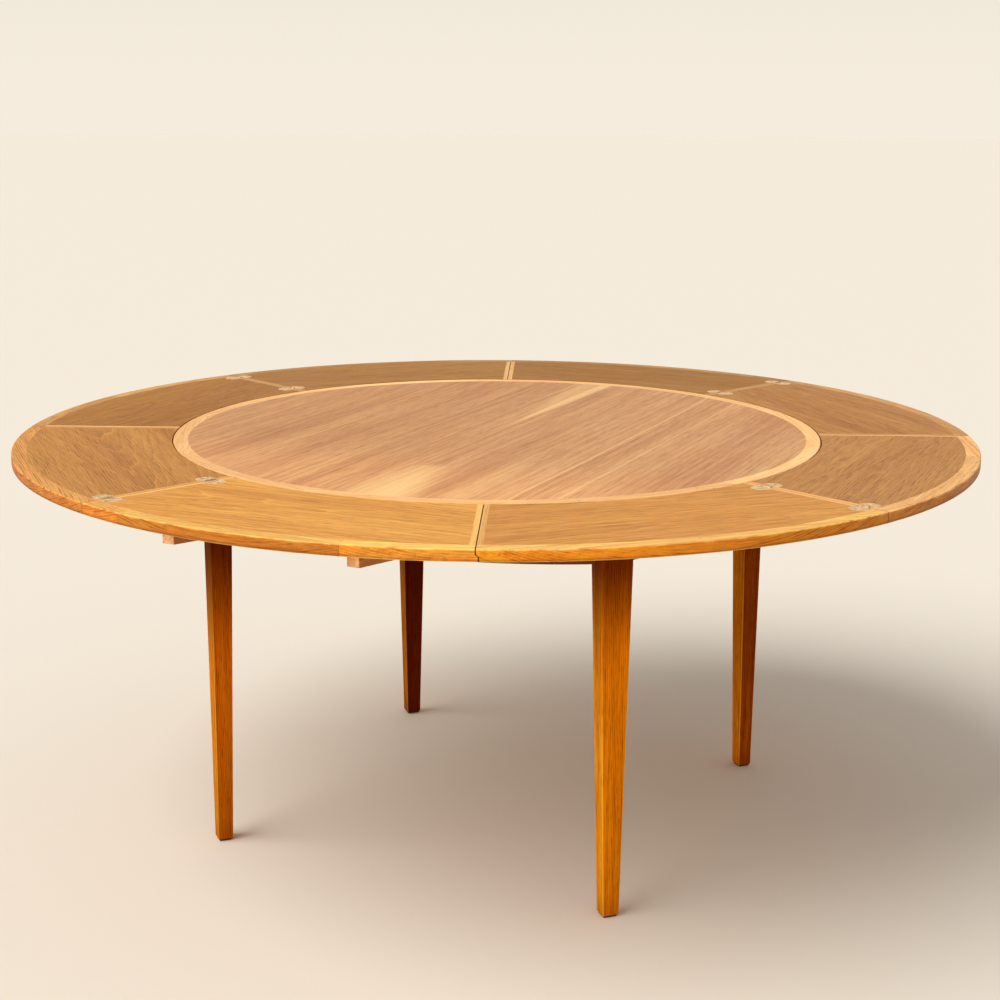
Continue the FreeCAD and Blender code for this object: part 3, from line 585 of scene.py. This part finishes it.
def shaded_amber_edge(tree, name, colour, along, pick):
    """Upright edge in painted shade and warm bounce light, deeper amber, uneven from piece to piece."""
    x, _, z = tree.split(tree.place)
    shaded_edge = tree.tint(colour, EDGE_SHADE_AMBERS.get(name, EDGE_SHADE_AMBER))
    piece_tone = tree.span(pick, 0.0, 1.0, *EDGE_PIECE_TONES)
    shaded_edge = tree.dim(shaded_edge, tree.times(edge_figure(tree, along, pick), piece_tone))
    # Painted shade towards the lower arris
    shaded_edge = tree.dim(shaded_edge, tree.span(z, *LOWER_ARRIS_SHADE))
    # Painted shade, darker towards the flap's far end
    if name in EDGE_SHADE_FADES:
        shaded_edge = tree.dim(shaded_edge, tree.span(x, *EDGE_SHADE_FADES[name]))
    return shaded_edge


def worn_and_highlit_rim(tree, colour, base, radius):
    """The rim's colour with rubbed outer corners, pale as wear and a painted highlight, and bruises."""
    z = tree.split(tree.place)[2]
    near_rim = tree.span(radius_of(tree), radius - CORNER_REACH, radius)
    corner = tree.times(near_rim, tree.span(z, TOP - CORNER_REACH, TOP))
    patches = tree.span(tree.noise(tree.mapped(tree.place, RUB_SCALE), detail=3.0), *RUB_SHARE)
    spots = tree.noise(tree.mapped(tree.place, BRUISE_SCALE, BRUISE_SHIFT), detail=1.0)
    bruises = tree.span(spots, *BRUISE_SHARE)
    # Wear and painted highlight on the outer corner
    rubbed_and_highlit = tree.times(corner, patches)
    colour = tree.mix(tree.times(rubbed_and_highlit, RIM_WEAR), colour, shade(base, *RUBBED_AND_HIGHLIT))
    return tree.mix(tree.times(bruises, RIM_WEAR), colour, shade(base, *BRUISED))


def edge_band(name, start, piece_angle, seed, base, radius, seams=None):
    """Solid oak edge band of straight-grained pieces; a leaf's band has strips along its two seams."""
    tree = Tree("band_" + name)
    along, pick, joint = rim_pieces(tree, start, piece_angle, seed)
    on_rim = 1.0
    cut = DISC_RIM_CUT
    if seams:
        on_rim = tree.span(radius_of(tree), RIM_INNER - RIM_SOFT, RIM_INNER + RIM_SOFT)
        along, on_lipped = strip_grain(tree, seams, on_rim, along)
        cut = RIM_CUT
    heart = (radius + RIM_HEART_OUT, TOP - RIM_HEART_DEPTH)
    colour, pores = grain(tree, along, base, seed, heart, **cut)
    colour = tree.dim(colour, tree.span(pick, 0.0, 1.0, *PIECE_TONES))
    level = tree.math("ABSOLUTE", tree.split(tree.coordinates["Normal"])[2])
    # Painted shade and warm bounce light on the upright edge
    shaded_edge = shaded_amber_edge(tree, name, colour, along, pick)
    colour = tree.mix(tree.span(level, *EDGE_FACES), colour, shaded_edge)
    colour = worn_and_highlit_rim(tree, colour, base, radius)
    joint_depth = tree.times(on_rim, tree.span(level, *EDGE_FACES, *JOINT_DEPTHS))
    lines = tree.times(tree.span(joint, *JOINT_WIDTH), joint_depth)
    if seams:
        lipped_tone, hinged_tone = (ratio(strip, base) for strip in STRIP_COLOURS[name])
        strip_tone = tree.mix(on_lipped, hinged_tone, lipped_tone)
        strip = tree.tint(tree.mix(STRIP_PLAINNESS, colour, base), strip_tone)
        colour = tree.mix(on_rim, strip, colour)
        # Dirt and painted shade along the seams
        lines = tree.most(lines, seam_dirt_and_shade(tree, *seams))
    else:
        # Dirt and painted shade in the gap round the disc
        lines = tree.most(lines, gap_dirt_and_shade(tree, radius))
    colour = tree.mix(lines, colour, SEAM_DIRT_AND_SHADE)
    return finish_wood(tree, colour, pores, roughness=0.50, gloss=0.18)


# Legs, bearers and boards

# Painted light and shade on each leg: its front left face lit and its front right face shaded, both darker
# on the legs further under the top; and the colour of the faces that look away from the front
LEG_LIT_AND_SHADED_COLOURS = {
    "front": (tone(243, 149, 30), tone(238, 130, 8)),
    "left": (tone(208, 124, 22), tone(198, 98, 6)),
    "right": (tone(192, 110, 10), tone(136, 58, 4)),
    "back": (tone(156, 86, 11), tone(88, 24, 2)),
}
LEG_FAR_COLOUR = tone(216, 128, 30)
# Direction of a leg's faces from the x axis in degrees, and how squarely a face has to look that way
LEG_FACES_TURN = 45.0
LEG_FACE = (0.35, 0.65)
# The arris between two faces, and how much paler it is with wear and a painted highlight, from one height to
# another
ARRIS_STARTS = (0.15, 0.50)
ARRIS_ENDS = (0.98, 0.85)
ARRIS_WEAR_AND_HIGHLIGHT = (0.50, 0.25, 0.25, 0.80)
ARRIS_HIGHLIGHT_TONE = (1.4, 0.80)
# Painted shadow of the top: heights between which a leg darkens under it, and what its colour loses there
LEG_SHADES = {
    "front": (0.40, 0.60), "left": (0.30, 0.56), "right": (0.40, 0.60), "back": (0.24, 0.60),
}
LEG_SHADE_TONE = (0.20, 0.11, 0.06, 1.0)
FULL_TONE = (1.0, 1.0, 1.0, 1.0)
# Painted light and shade at each leg's foot: how light it is there, against half way up
LEG_FOOT_HEIGHT = 0.32
LEG_FOOT_LIGHT_AND_SHADE = {"front": 0.84, "left": 0.76, "right": 1.55, "back": 1.15}
# Darkening at the foot and scuffs: height that the darkening reaches, size and share of the scuffs,
# strengths, shades
FOOT_DARK_HEIGHT = 0.05
FOOT_DARK_STRENGTH = 0.35
FOOT_DARK_TONE = (0.42, 1.2)
SCUFF_SCALE = (60.0, 60.0, 24.0)
SCUFF_SHARE = (0.50, 0.66)
SCUFF_STRENGTH = 0.16
SCUFF_SHADE = (0.55, 1.1)
# Hearts of the logs that the legs and the boards were cut from
LEG_HEART = (0.07, -0.44)
BEARER_HEART = (0.1, 0.5)
APRON_HEART = (-0.35, 0.75)
RAIL_HEART = (0.05, 0.70)
POST_HEART = (0.0, 0.0)
# How squarely a loper's end face has to look outward to take the painted light
BEARER_LIT_END_FACE = (0.55, 0.85)


def leg_oak(name, seed):
    """Oiled oak of a leg: upright grain, arrises pale with wear and a painted highlight, darker at the foot,
    painted light and shade on its faces and at its foot, and a painted shadow under the top.
    """
    tree = Tree("oak_leg_" + name)
    along = tree.mapped(tree.mapped(tree.place, turn=spin(LEG_ANGLES[name])), turn=UPRIGHT)
    pale, base = LEG_LIT_AND_SHADED_COLOURS[name]
    colour, pores = grain(tree, along, base, seed, LEG_HEART, **LEG_CUT)
    facing = tree.mapped(tree.coordinates["Normal"], turn=spin(LEG_FACES_TURN))
    back_right, back_left, _ = tree.split(facing)
    lit_facing = tree.math("ABSOLUTE", back_right)
    # Lit and shaded copies of the leg's oak, painted on its faces
    lit_side = tree.tint(colour, ratio(pale, base))
    far_side = tree.tint(colour, ratio(LEG_FAR_COLOUR, base))
    colour = tree.mix(tree.span(lit_facing, *LEG_FACE), colour, lit_side)
    colour = tree.mix(tree.span(tree.most(back_right, back_left), *LEG_FACE), colour, far_side)
    # Painted highlight and wear along the arris
    highlit_arris = tree.times(tree.span(lit_facing, *ARRIS_STARTS), tree.span(lit_facing, *ARRIS_ENDS))
    height = tree.split(tree.place)[2]
    worn = tree.times(highlit_arris, tree.span(height, *ARRIS_WEAR_AND_HIGHLIGHT))
    colour = tree.mix(worn, colour, shade(pale, *ARRIS_HIGHLIGHT_TONE))
    # Darker near the floor, within a few centimetres of the foot
    foot_dark = tree.times(tree.span(height, FOOT_DARK_HEIGHT, 0.0), FOOT_DARK_STRENGTH)
    colour = tree.mix(foot_dark, colour, shade(base, *FOOT_DARK_TONE))
    # Painted light and shade towards the foot
    colour = tree.dim(colour, tree.span(height, LEG_FOOT_HEIGHT, 0.0, 1.0, LEG_FOOT_LIGHT_AND_SHADE[name]))
    scuffs = tree.span(tree.noise(tree.mapped(tree.place, SCUFF_SCALE), detail=3.0), *SCUFF_SHARE)
    colour = tree.mix(tree.times(scuffs, SCUFF_STRENGTH), colour, shade(base, *SCUFF_SHADE))
    # Painted shadow of the top on the leg
    painted_top_shadow = tree.mix(tree.span(height, *LEG_SHADES[name]), FULL_TONE, LEG_SHADE_TONE)
    colour = tree.tint(colour, painted_top_shadow)
    return finish_wood(tree, colour, pores, roughness=0.72, gloss=0.012)


def loper_wood(side, seed):
    """Beech of a side's lopers, with painted light on their end faces and painted shade on their sides."""
    tree = Tree("wood_loper_" + side)
    turn = spin(SIDE_ANGLES[side])
    along = tree.mapped(tree.place, turn=turn)
    colour, pores = grain(tree, along, BEARER_COLOUR, seed, BEARER_HEART, **BOARD_CUT)
    outward = tree.split(tree.mapped(tree.coordinates["Normal"], turn=turn))[0]
    lit_end = tree.tint(colour, ratio(BEARER_LIT_END, BEARER_COLOUR))
    colour = tree.mix(tree.span(outward, *BEARER_LIT_END_FACE), colour, lit_end)
    return finish_wood(tree, colour, pores, roughness=0.55, gloss=0.12)


def solid_wood(name, turn, base, seed, heart, roughness=0.45, gloss=0.20):
    """Solid wood whose grain runs along the x axis after the turn."""
    tree = Tree(name)
    along = tree.mapped(tree.place, turn=turn)
    colour, pores = grain(tree, along, base, seed, heart, **BOARD_CUT)
    return finish_wood(tree, colour, pores, roughness, gloss)


# Metal and rubber

# Bright and dull tone of each metal
PLATED = (tone(255, 216, 162), tone(196, 156, 106))
STRAP_STEEL = (tone(190, 186, 178), tone(130, 124, 114))
SCREW_BRASS = (tone(226, 192, 144), tone(170, 136, 96))
SCREW_STEEL = (tone(176, 172, 164), tone(112, 106, 98))
# Scratches both ways, dull patches and their share in the figure of the metal, its stops and spread
SCRATCHES = (2600.0, 240.0, 240.0)
CROSS_SCRATCHES = (2200.0, 260.0, 260.0)
CROSS_TURN = (0.0, 0.0, 0.9)
DULL_PATCHES = (150.0, 150.0, 150.0)
PATCH_WEIGHT = 0.6
METAL_STOPS = (0.38, 0.60)
MARK_SPREAD = (0.3, 0.7)
# The knuckles stand proud of the top: heights where they are tarnished, and the tones there
TARNISH = (TOP + 0.0002, TOP + 0.0012, 1.0, 0.62)
# How metallic the worn plating is, how rough, and how deep its scratches are
PLATING = 0.45
METAL_ROUGHNESS = (0.36, 0.56)
SCRATCH_RELIEF = 0.3
SCRATCH_DEPTH = 0.0002
# Mottle of the glides: scale, tones, stops, spread, roughness and relief
GLIDE_MOTTLE = (260.0, 260.0, 260.0)
GLIDE_DARK = tone(30, 24, 20)
GLIDE_DUSTY = tone(62, 50, 42)
GLIDE_STOPS = (0.35, 0.65)
GLIDE_SPREAD = (0.2, 0.8)
GLIDE_ROUGHNESS = (0.7, 0.9)
GLIDE_RELIEF = 0.4
GLIDE_DEPTH = 0.0004


def hinge_metal(name, bright, dull):
    """Pale plated metal with crossed scratches and dull patches, tarnished where it stands proud."""
    tree = Tree(name)
    scratch = tree.noise(tree.mapped(tree.place, SCRATCHES))
    cross = tree.noise(tree.mapped(tree.place, CROSS_SCRATCHES, turn=CROSS_TURN))
    patch = tree.noise(tree.mapped(tree.place, DULL_PATCHES), detail=3.0)
    marks = tree.times(tree.math("ADD", scratch, cross), 0.5)
    figure = tree.math("MULTIPLY_ADD", patch, PATCH_WEIGHT, tree.times(marks, 1.0 - PATCH_WEIGHT))
    colour = tree.ramp(figure, list(zip(METAL_STOPS, (dull, bright))))
    colour = tree.dim(colour, tree.span(tree.split(tree.place)[2], *TARNISH))
    tree.feed(tree.shader.inputs["Base Color"], colour)
    tree.shader.inputs["Metallic"].default_value = PLATING
    tree.feed(tree.shader.inputs["Roughness"], tree.span(marks, *MARK_SPREAD, *METAL_ROUGHNESS))
    tree.bump(marks, SCRATCH_RELIEF, SCRATCH_DEPTH)
    return tree.material


def glide_rubber():
    """Dark glide with a dusty mottle."""
    tree = Tree("glide_rubber")
    mottle = tree.noise(tree.mapped(tree.place, GLIDE_MOTTLE), detail=3.0)
    colour = tree.ramp(mottle, list(zip(GLIDE_STOPS, (GLIDE_DARK, GLIDE_DUSTY))))
    tree.feed(tree.shader.inputs["Base Color"], colour)
    tree.feed(tree.shader.inputs["Roughness"], tree.span(mottle, *GLIDE_SPREAD, *GLIDE_ROUGHNESS))
    tree.bump(mottle, GLIDE_RELIEF, GLIDE_DEPTH)
    return tree.material


# Finishes of the frame's nodes

# Pieces of a carried leaf's rim and of the disc's: angle of the first joint, from the leaf's middle or the
# x axis, and angle of a piece. A flap's rim is one piece
LEAF_FIRST_JOINT = -16.3
LEAF_PIECE = 26.0
DISC_FIRST_JOINT = 11.0
DISC_PIECE = 36.0
DISC_BAND_SEED = 3.0
# First seeds of the woods that each side has, and the step from a leaf to its flap
SIDE_SEEDS = {"band": 10.0, "loper": 20.0, "peg": 25.0, "apron": 30.0, "leg": 40.0}
FLAP_SEED_STEP = 0.5
# Edge bands whose pieces differ in tone as those of the photograph do
BAND_SEEDS = {"leaf_front": 139.5}
# First seed of the boards that the table has once
BOARD_SEED = 51.0


def dress(node, material):
    """Give a frame node its finish."""
    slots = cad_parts[node].data.materials
    slots.clear()
    slots.append(material)


def dress_leaf_pair(side, seed, metal):
    """Finishes of a carried leaf, its flap and their hinges."""
    middle = SIDE_ANGLES[side]
    hinged = middle - HALF_LEAF
    flap_end = hinged - 2 * HALF_LEAF
    for kind, lipped, first_joint, piece, number in (
        ("leaf", middle + HALF_LEAF, middle + LEAF_FIRST_JOINT, LEAF_PIECE, seed),
        ("flap", flap_end, flap_end, 2 * HALF_LEAF, seed + FLAP_SEED_STEP),
    ):
        name = kind + "_" + side
        dress(kind + "_panel_" + side, leaf_veneer(name, (lipped + hinged) / 2, number))
        band_seed = BAND_SEEDS.get(name, SIDE_SEEDS["band"] + number)
        seams = (lipped, hinged)
        band = edge_band(name, first_joint, piece, band_seed, RIM_COLOURS_AND_LIGHT[name], RING_RADIUS, seams)
        dress(kind + "_lipping_" + side, band)
    for kind in ("leaf_hinges_", "flap_hinges_", "hinge_pins_"):
        dress(kind + side, metal)


def dress_bearers(side, seed):
    """Finishes of a side's lopers, their pegs, the apron and a leg."""
    across = spin(SIDE_ANGLES[side] + 90.0)
    seeds = {kind: first + seed for kind, first in SIDE_SEEDS.items()}
    pegs = solid_wood("wood_peg_" + side, across, BEARER_COLOUR, seeds["peg"], BEARER_HEART,
                      roughness=0.55, gloss=0.25)
    apron = solid_wood("oak_apron_" + side, across, APRON_COLOUR_AND_SHADE, seeds["apron"], APRON_HEART)
    dress("lopers_" + side, loper_wood(side, seeds["loper"]))
    dress("loper_pegs_" + side, pegs)
    dress("apron_" + side, apron)
    dress("leg_" + side, leg_oak(side, seeds["leg"]))


def dress_boards():
    """Finishes of the crossed rails, the lopers' guides, the posts and their collars."""
    # Node, finish, turn of the grain, colour, heart of the log, roughness and gloss
    boards = (
        ("cross_rail_lower", "oak_rail_lower", spin(45.0), APRON_COLOUR_AND_SHADE, RAIL_HEART, 0.45, 0.2),
        ("cross_rail_upper", "oak_rail_upper", spin(135.0), APRON_COLOUR_AND_SHADE, RAIL_HEART, 0.45, 0.2),
        ("loper_guides", "wood_guides", spin(0.0), GUIDE_COLOUR, RAIL_HEART, 0.6, 0.2),
        ("guide_posts", "wood_posts", UPRIGHT, BEARER_COLOUR, POST_HEART, 0.5, 0.3),
        ("post_collars", "wood_collars", UPRIGHT, GUIDE_COLOUR, POST_HEART, 0.6, 0.2),
    )
    for number, (node, name, turn, base, heart, roughness, gloss) in enumerate(boards):
        dress(node, solid_wood(name, turn, base, BOARD_SEED + number, heart, roughness, gloss))


def dress_frame():
    """Finishes of every frame node."""
    plated = hinge_metal("plated_metal", *PLATED)
    dress("centre_panel", disc_veneer())
    disc_band = edge_band("disc", DISC_FIRST_JOINT, DISC_PIECE, DISC_BAND_SEED, DISC_RIM, DISC_RADIUS)
    dress("centre_lipping", disc_band)
    for number, side in enumerate(SIDE_ANGLES, start=1):
        dress_leaf_pair(side, float(number), plated)
        dress_bearers(side, float(number))
    dress_boards()
    dress("keeper_straps", hinge_metal("strap_steel", *STRAP_STEEL))
    dress("leg_glides", glide_rubber())


# Screws

# Hinges of a seam by their distance from the middle, and the screws round the middle of a hinge plate
HINGE_PLACES = (0.7886, 0.6060)
PLATE_OFFSET = 0.013
SCREW_CIRCLE = 0.009
SCREW_ANGLES = (-30.0, 90.0, 210.0)
# Lopers: slope, end and its depth, their screws by distance from the middle, and how far each lies aside
LOPER_SLOPE = math.radians(7.32)
LOPER_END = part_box("lopers_right")[1].x
LOPER_END_DEPTH = 0.019
LOPER_END_BOTTOM = UNDERSIDE - LOPER_END_DEPTH
LOPER_SCREWS = (0.735, 0.775)
LOPER_ASIDE = {"front": 0.149, "right": 0.048, "back": 0.149, "left": 0.048}
# Keeper straps: half their width, the height that their slope loses on it, their place and their screws
STRAP_HALF = 0.008
STRAP_DROP = 0.00105
STRAP_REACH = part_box("keeper_straps")[1].x - STRAP_HALF
STRAP_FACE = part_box("keeper_straps")[1].z - STRAP_DROP
STRAP_SCREW_ASIDE = 0.0165
# Screw head: radii of its top and foot, depth, how far it is sunk or stands proud, and its slot
HEAD_RADIUS = 0.00305
HEAD_FOOT = 0.0018
HEAD_DEPTH = 0.0015
HEAD_SUNK = 0.0001
HEAD_PROUD = 0.0002
SLOT_HALF = 0.00042
SLOT_DEPTH = 0.0007
ARC_STEPS = 10
# Turns of the slots in degrees: by a screw's angle, its hinge and its plate, by the loper and the screw in
# it, and by the metres that a strap's screw lies aside
SLOT_BY_ANGLE = 1.7
SLOT_BY_HINGE = 40.0
SLOT_BY_PLATE = 25.0
SLOT_BY_LOPER = 35.0
SLOT_BY_SCREW = 70.0
SLOT_BY_METRE = 2000.0


def arc(radius, half_width, height):
    """Two arcs of a round head, on either side of its slot."""
    start = math.asin(half_width / radius)
    arcs = []
    for base in (0.0, math.pi):
        angles = [base + start + (math.pi - 2 * start) * step / ARC_STEPS for step in range(ARC_STEPS + 1)]
        arcs.append([Vector((radius * math.cos(a), radius * math.sin(a), height)) for a in angles])
    return arcs


def screw_head(shape, place):
    """Countersunk head with a straight slot."""
    def points(rows):
        return [[shape.verts.new(place @ point) for point in row] for row in rows]
    top = points(arc(HEAD_RADIUS, SLOT_HALF, 0.0))
    foot = points(arc(HEAD_FOOT, SLOT_HALF, -HEAD_DEPTH))
    run = math.sqrt(HEAD_RADIUS ** 2 - SLOT_HALF ** 2)
    corners = ((run, SLOT_HALF), (-run, SLOT_HALF), (-run, -SLOT_HALF), (run, -SLOT_HALF))
    floor = [shape.verts.new(place @ Vector((x, y, -SLOT_DEPTH))) for x, y in corners]
    for half, (first, last) in enumerate(((0, 1), (2, 3))):
        shape.faces.new(top[half])
        shape.faces.new((floor[first], floor[last], top[half][-1], top[half][0]))
        for step in range(ARC_STEPS):
            upper = (top[half][step + 1], top[half][step])
            shape.faces.new(upper + (foot[half][step], foot[half][step + 1]))
    shape.faces.new(floor)
    ends = ((0, 3), (2, 1))
    for half, (near, far) in enumerate(ends):
        other = foot[1 - half]
        shape.faces.new((top[half][0], floor[near], foot[half][0]))
        shape.faces.new((floor[far], top[1 - half][-1], other[-1]))
        shape.faces.new((floor[near], floor[far], other[-1], foot[half][0]))
    shape.faces.new(list(reversed(foot[0] + foot[1])))


def fit_screws(name, body, places, material):
    """One piece that holds the screws of several places and rides on a body."""
    shape = bmesh.new()
    for place in places:
        screw_head(shape, place)
    bmesh.ops.recalc_face_normals(shape, faces=shape.faces)
    mesh = bpy.data.meshes.new(name)
    shape.to_mesh(mesh)
    shape.free()
    mesh.materials.append(material)
    piece = bpy.data.objects.new(name, mesh)
    bpy.context.scene.collection.objects.link(piece)
    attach(piece, body)


def about(axis, degrees):
    """Turn about one axis, in degrees."""
    return Matrix.Rotation(math.radians(degrees), 4, axis)


def hinge_screw_places(side, kind):
    """Places of the screws in one side's hinge plates, on the leaf or on the flap."""
    across = 1.0 if kind == "leaf" else -1.0
    seam = about("Z", SIDE_ANGLES[side] - HALF_LEAF)
    for number, radius in enumerate(HINGE_PLACES):
        for angle in SCREW_ANGLES:
            turn = math.radians(angle)
            out = radius + SCREW_CIRCLE * math.cos(turn)
            aside = across * (PLATE_OFFSET + SCREW_CIRCLE * math.sin(turn))
            slot = about("Z", SLOT_BY_ANGLE * angle + SLOT_BY_HINGE * number + SLOT_BY_PLATE * across)
            yield seam @ Matrix.Translation((out, aside, TOP - HEAD_SUNK)) @ slot


def loper_screw_places(side):
    """Places of the screws that go up through a side's lopers into the leaf."""
    towards = about("Z", SIDE_ANGLES[side])
    downward = Matrix.Rotation(math.pi - LOPER_SLOPE, 4, "Y") @ Matrix.Translation((0, 0, HEAD_PROUD))
    for hand in (-1.0, 1.0):
        for number, reach in enumerate(LOPER_SCREWS):
            height = LOPER_END_BOTTOM - math.tan(LOPER_SLOPE) * (LOPER_END - reach)
            place = Matrix.Translation((reach, hand * LOPER_ASIDE[side], height))
            slot = about("Z", SLOT_BY_LOPER * hand + SLOT_BY_SCREW * number)
            yield towards @ place @ downward @ slot


def strap_screw_places():
    """Places of the two screws at the ends of every keeper strap."""
    upward = Matrix.Rotation(-LOPER_SLOPE, 4, "Y") @ Matrix.Translation((0, 0, HEAD_PROUD))
    for side, loper_aside in LOPER_ASIDE.items():
        towards = about("Z", SIDE_ANGLES[side])
        for loper in (-loper_aside, loper_aside):
            for hand in (-STRAP_SCREW_ASIDE, STRAP_SCREW_ASIDE):
                aside = loper + hand
                place = Matrix.Translation((STRAP_REACH, aside, STRAP_FACE))
                yield towards @ place @ upward @ about("Z", SLOT_BY_METRE * aside)


def fit_all_screws():
    """Screws of the hinges and lopers on their leaves and flaps, and of the straps on the frame."""
    brass = hinge_metal("screw_metal", *SCREW_BRASS)
    steel = hinge_metal("screw_steel", *SCREW_STEEL)
    for side in SIDE_ANGLES:
        for kind in ("leaf", "flap"):
            places = hinge_screw_places(side, kind)
            fit_screws("hinge_screws_%s_%s" % (kind, side), kind + "_" + side, places, brass)
        fit_screws("loper_screws_" + side, "leaf_" + side, loper_screw_places(side), steel)
    fit_screws("strap_screws", "frame", strap_screw_places(), steel)


# Stage: pale floor, soft light and the photograph's camera

FLOOR_REACH = 40.0
FLOOR_STEPS = 128
FLOOR_COLOUR = tone(228, 222, 212)
FLOOR_ROUGHNESS = 0.9
FLOOR_GLOSS = 0.1
# The surround, from the horizon up to where it is dimmest
HORIZON = tone(245, 236, 221)
OVERHEAD = tone(186, 184, 180)
OVERHEAD_HEIGHT = 0.6
# The key light: strength, softness in degrees, colour and direction
KEY_STRENGTH = 2.7
KEY_SOFTNESS = 50.0
KEY_COLOUR = (1.0, 0.96, 0.90)
KEY_DIRECTION = (0.42, 0.50, -0.76)
# Camera of the photograph, in the table's frame: place in metres, angles in degrees, lens in millimetres
CAMERA_PLACE = (1.3134, -2.8799, 1.3047)
CAMERA_TURN = 23.82
CAMERA_PITCH = 13.073
CAMERA_ROLL = 0.342
CAMERA_LENS = 65.53
CAMERA_SENSOR = 36.0
CAMERA_SHIFT = -0.019


def stage_floor():
    """Plain pale floor, wide enough to reach the horizon."""
    shape = bmesh.new()
    bmesh.ops.create_circle(shape, cap_ends=True, segments=FLOOR_STEPS, radius=FLOOR_REACH)
    mesh = bpy.data.meshes.new("floor")
    shape.to_mesh(mesh)
    shape.free()
    floor = bpy.data.objects.new("floor", mesh)
    bpy.context.scene.collection.objects.link(floor)
    tree = Tree("floor_paint")
    tree.shader.inputs["Base Color"].default_value = FLOOR_COLOUR
    tree.shader.inputs["Roughness"].default_value = FLOOR_ROUGHNESS
    tree.shader.inputs["Specular IOR Level"].default_value = FLOOR_GLOSS
    floor.data.materials.append(tree.material)


def studio_light():
    """Soft key from the front left and a surround that is pale at the horizon and dimmer above."""
    world = bpy.data.worlds.new("surround")
    world.use_nodes = True
    nodes = world.node_tree.nodes
    direction = nodes.new("ShaderNodeTexCoord")
    axes = nodes.new("ShaderNodeSeparateXYZ")
    sky = nodes.new("ShaderNodeValToRGB")
    horizon, overhead = sky.color_ramp.elements
    horizon.color = HORIZON
    overhead.color = OVERHEAD
    overhead.position = OVERHEAD_HEIGHT
    links = world.node_tree.links
    links.new(direction.outputs["Generated"], axes.inputs[0])
    links.new(axes.outputs["Z"], sky.inputs["Fac"])
    links.new(sky.outputs["Color"], nodes["Background"].inputs["Color"])
    bpy.context.scene.world = world
    lamp = bpy.data.lights.new("key", "SUN")
    lamp.energy = KEY_STRENGTH
    lamp.angle = math.radians(KEY_SOFTNESS)
    lamp.color = KEY_COLOUR
    key = bpy.data.objects.new("key", lamp)
    key.rotation_euler = Vector(KEY_DIRECTION).to_track_quat("-Z", "Y").to_euler()
    bpy.context.scene.collection.objects.link(key)


def photo_camera():
    """Camera at the photograph's place and angle."""
    turn = math.radians(CAMERA_TURN)
    pitch = math.radians(CAMERA_PITCH)
    roll = math.radians(CAMERA_ROLL)
    ahead = math.cos(pitch)
    forward = Vector((-ahead * math.sin(turn), ahead * math.cos(turn), -math.sin(pitch)))
    level = Vector((math.cos(turn), math.sin(turn), 0.0))
    upward = level.cross(forward)
    right = level * math.cos(roll) + upward * math.sin(roll)
    up = right.cross(forward)
    axes = Matrix((right, up, -forward)).transposed()
    lens = bpy.data.cameras.new("photo_camera")
    lens.lens = CAMERA_LENS
    lens.sensor_width = CAMERA_SENSOR
    lens.shift_x = CAMERA_SHIFT
    camera = bpy.data.objects.new("photo_camera", lens)
    camera.matrix_world = Matrix.Translation(CAMERA_PLACE) @ axes.to_4x4()
    bpy.context.scene.collection.objects.link(camera)
    bpy.context.scene.camera = camera


dress_frame()
fit_all_screws()
stage_floor()
studio_light()
photo_camera()
bpy.context.scene.view_settings.view_transform = "Standard"
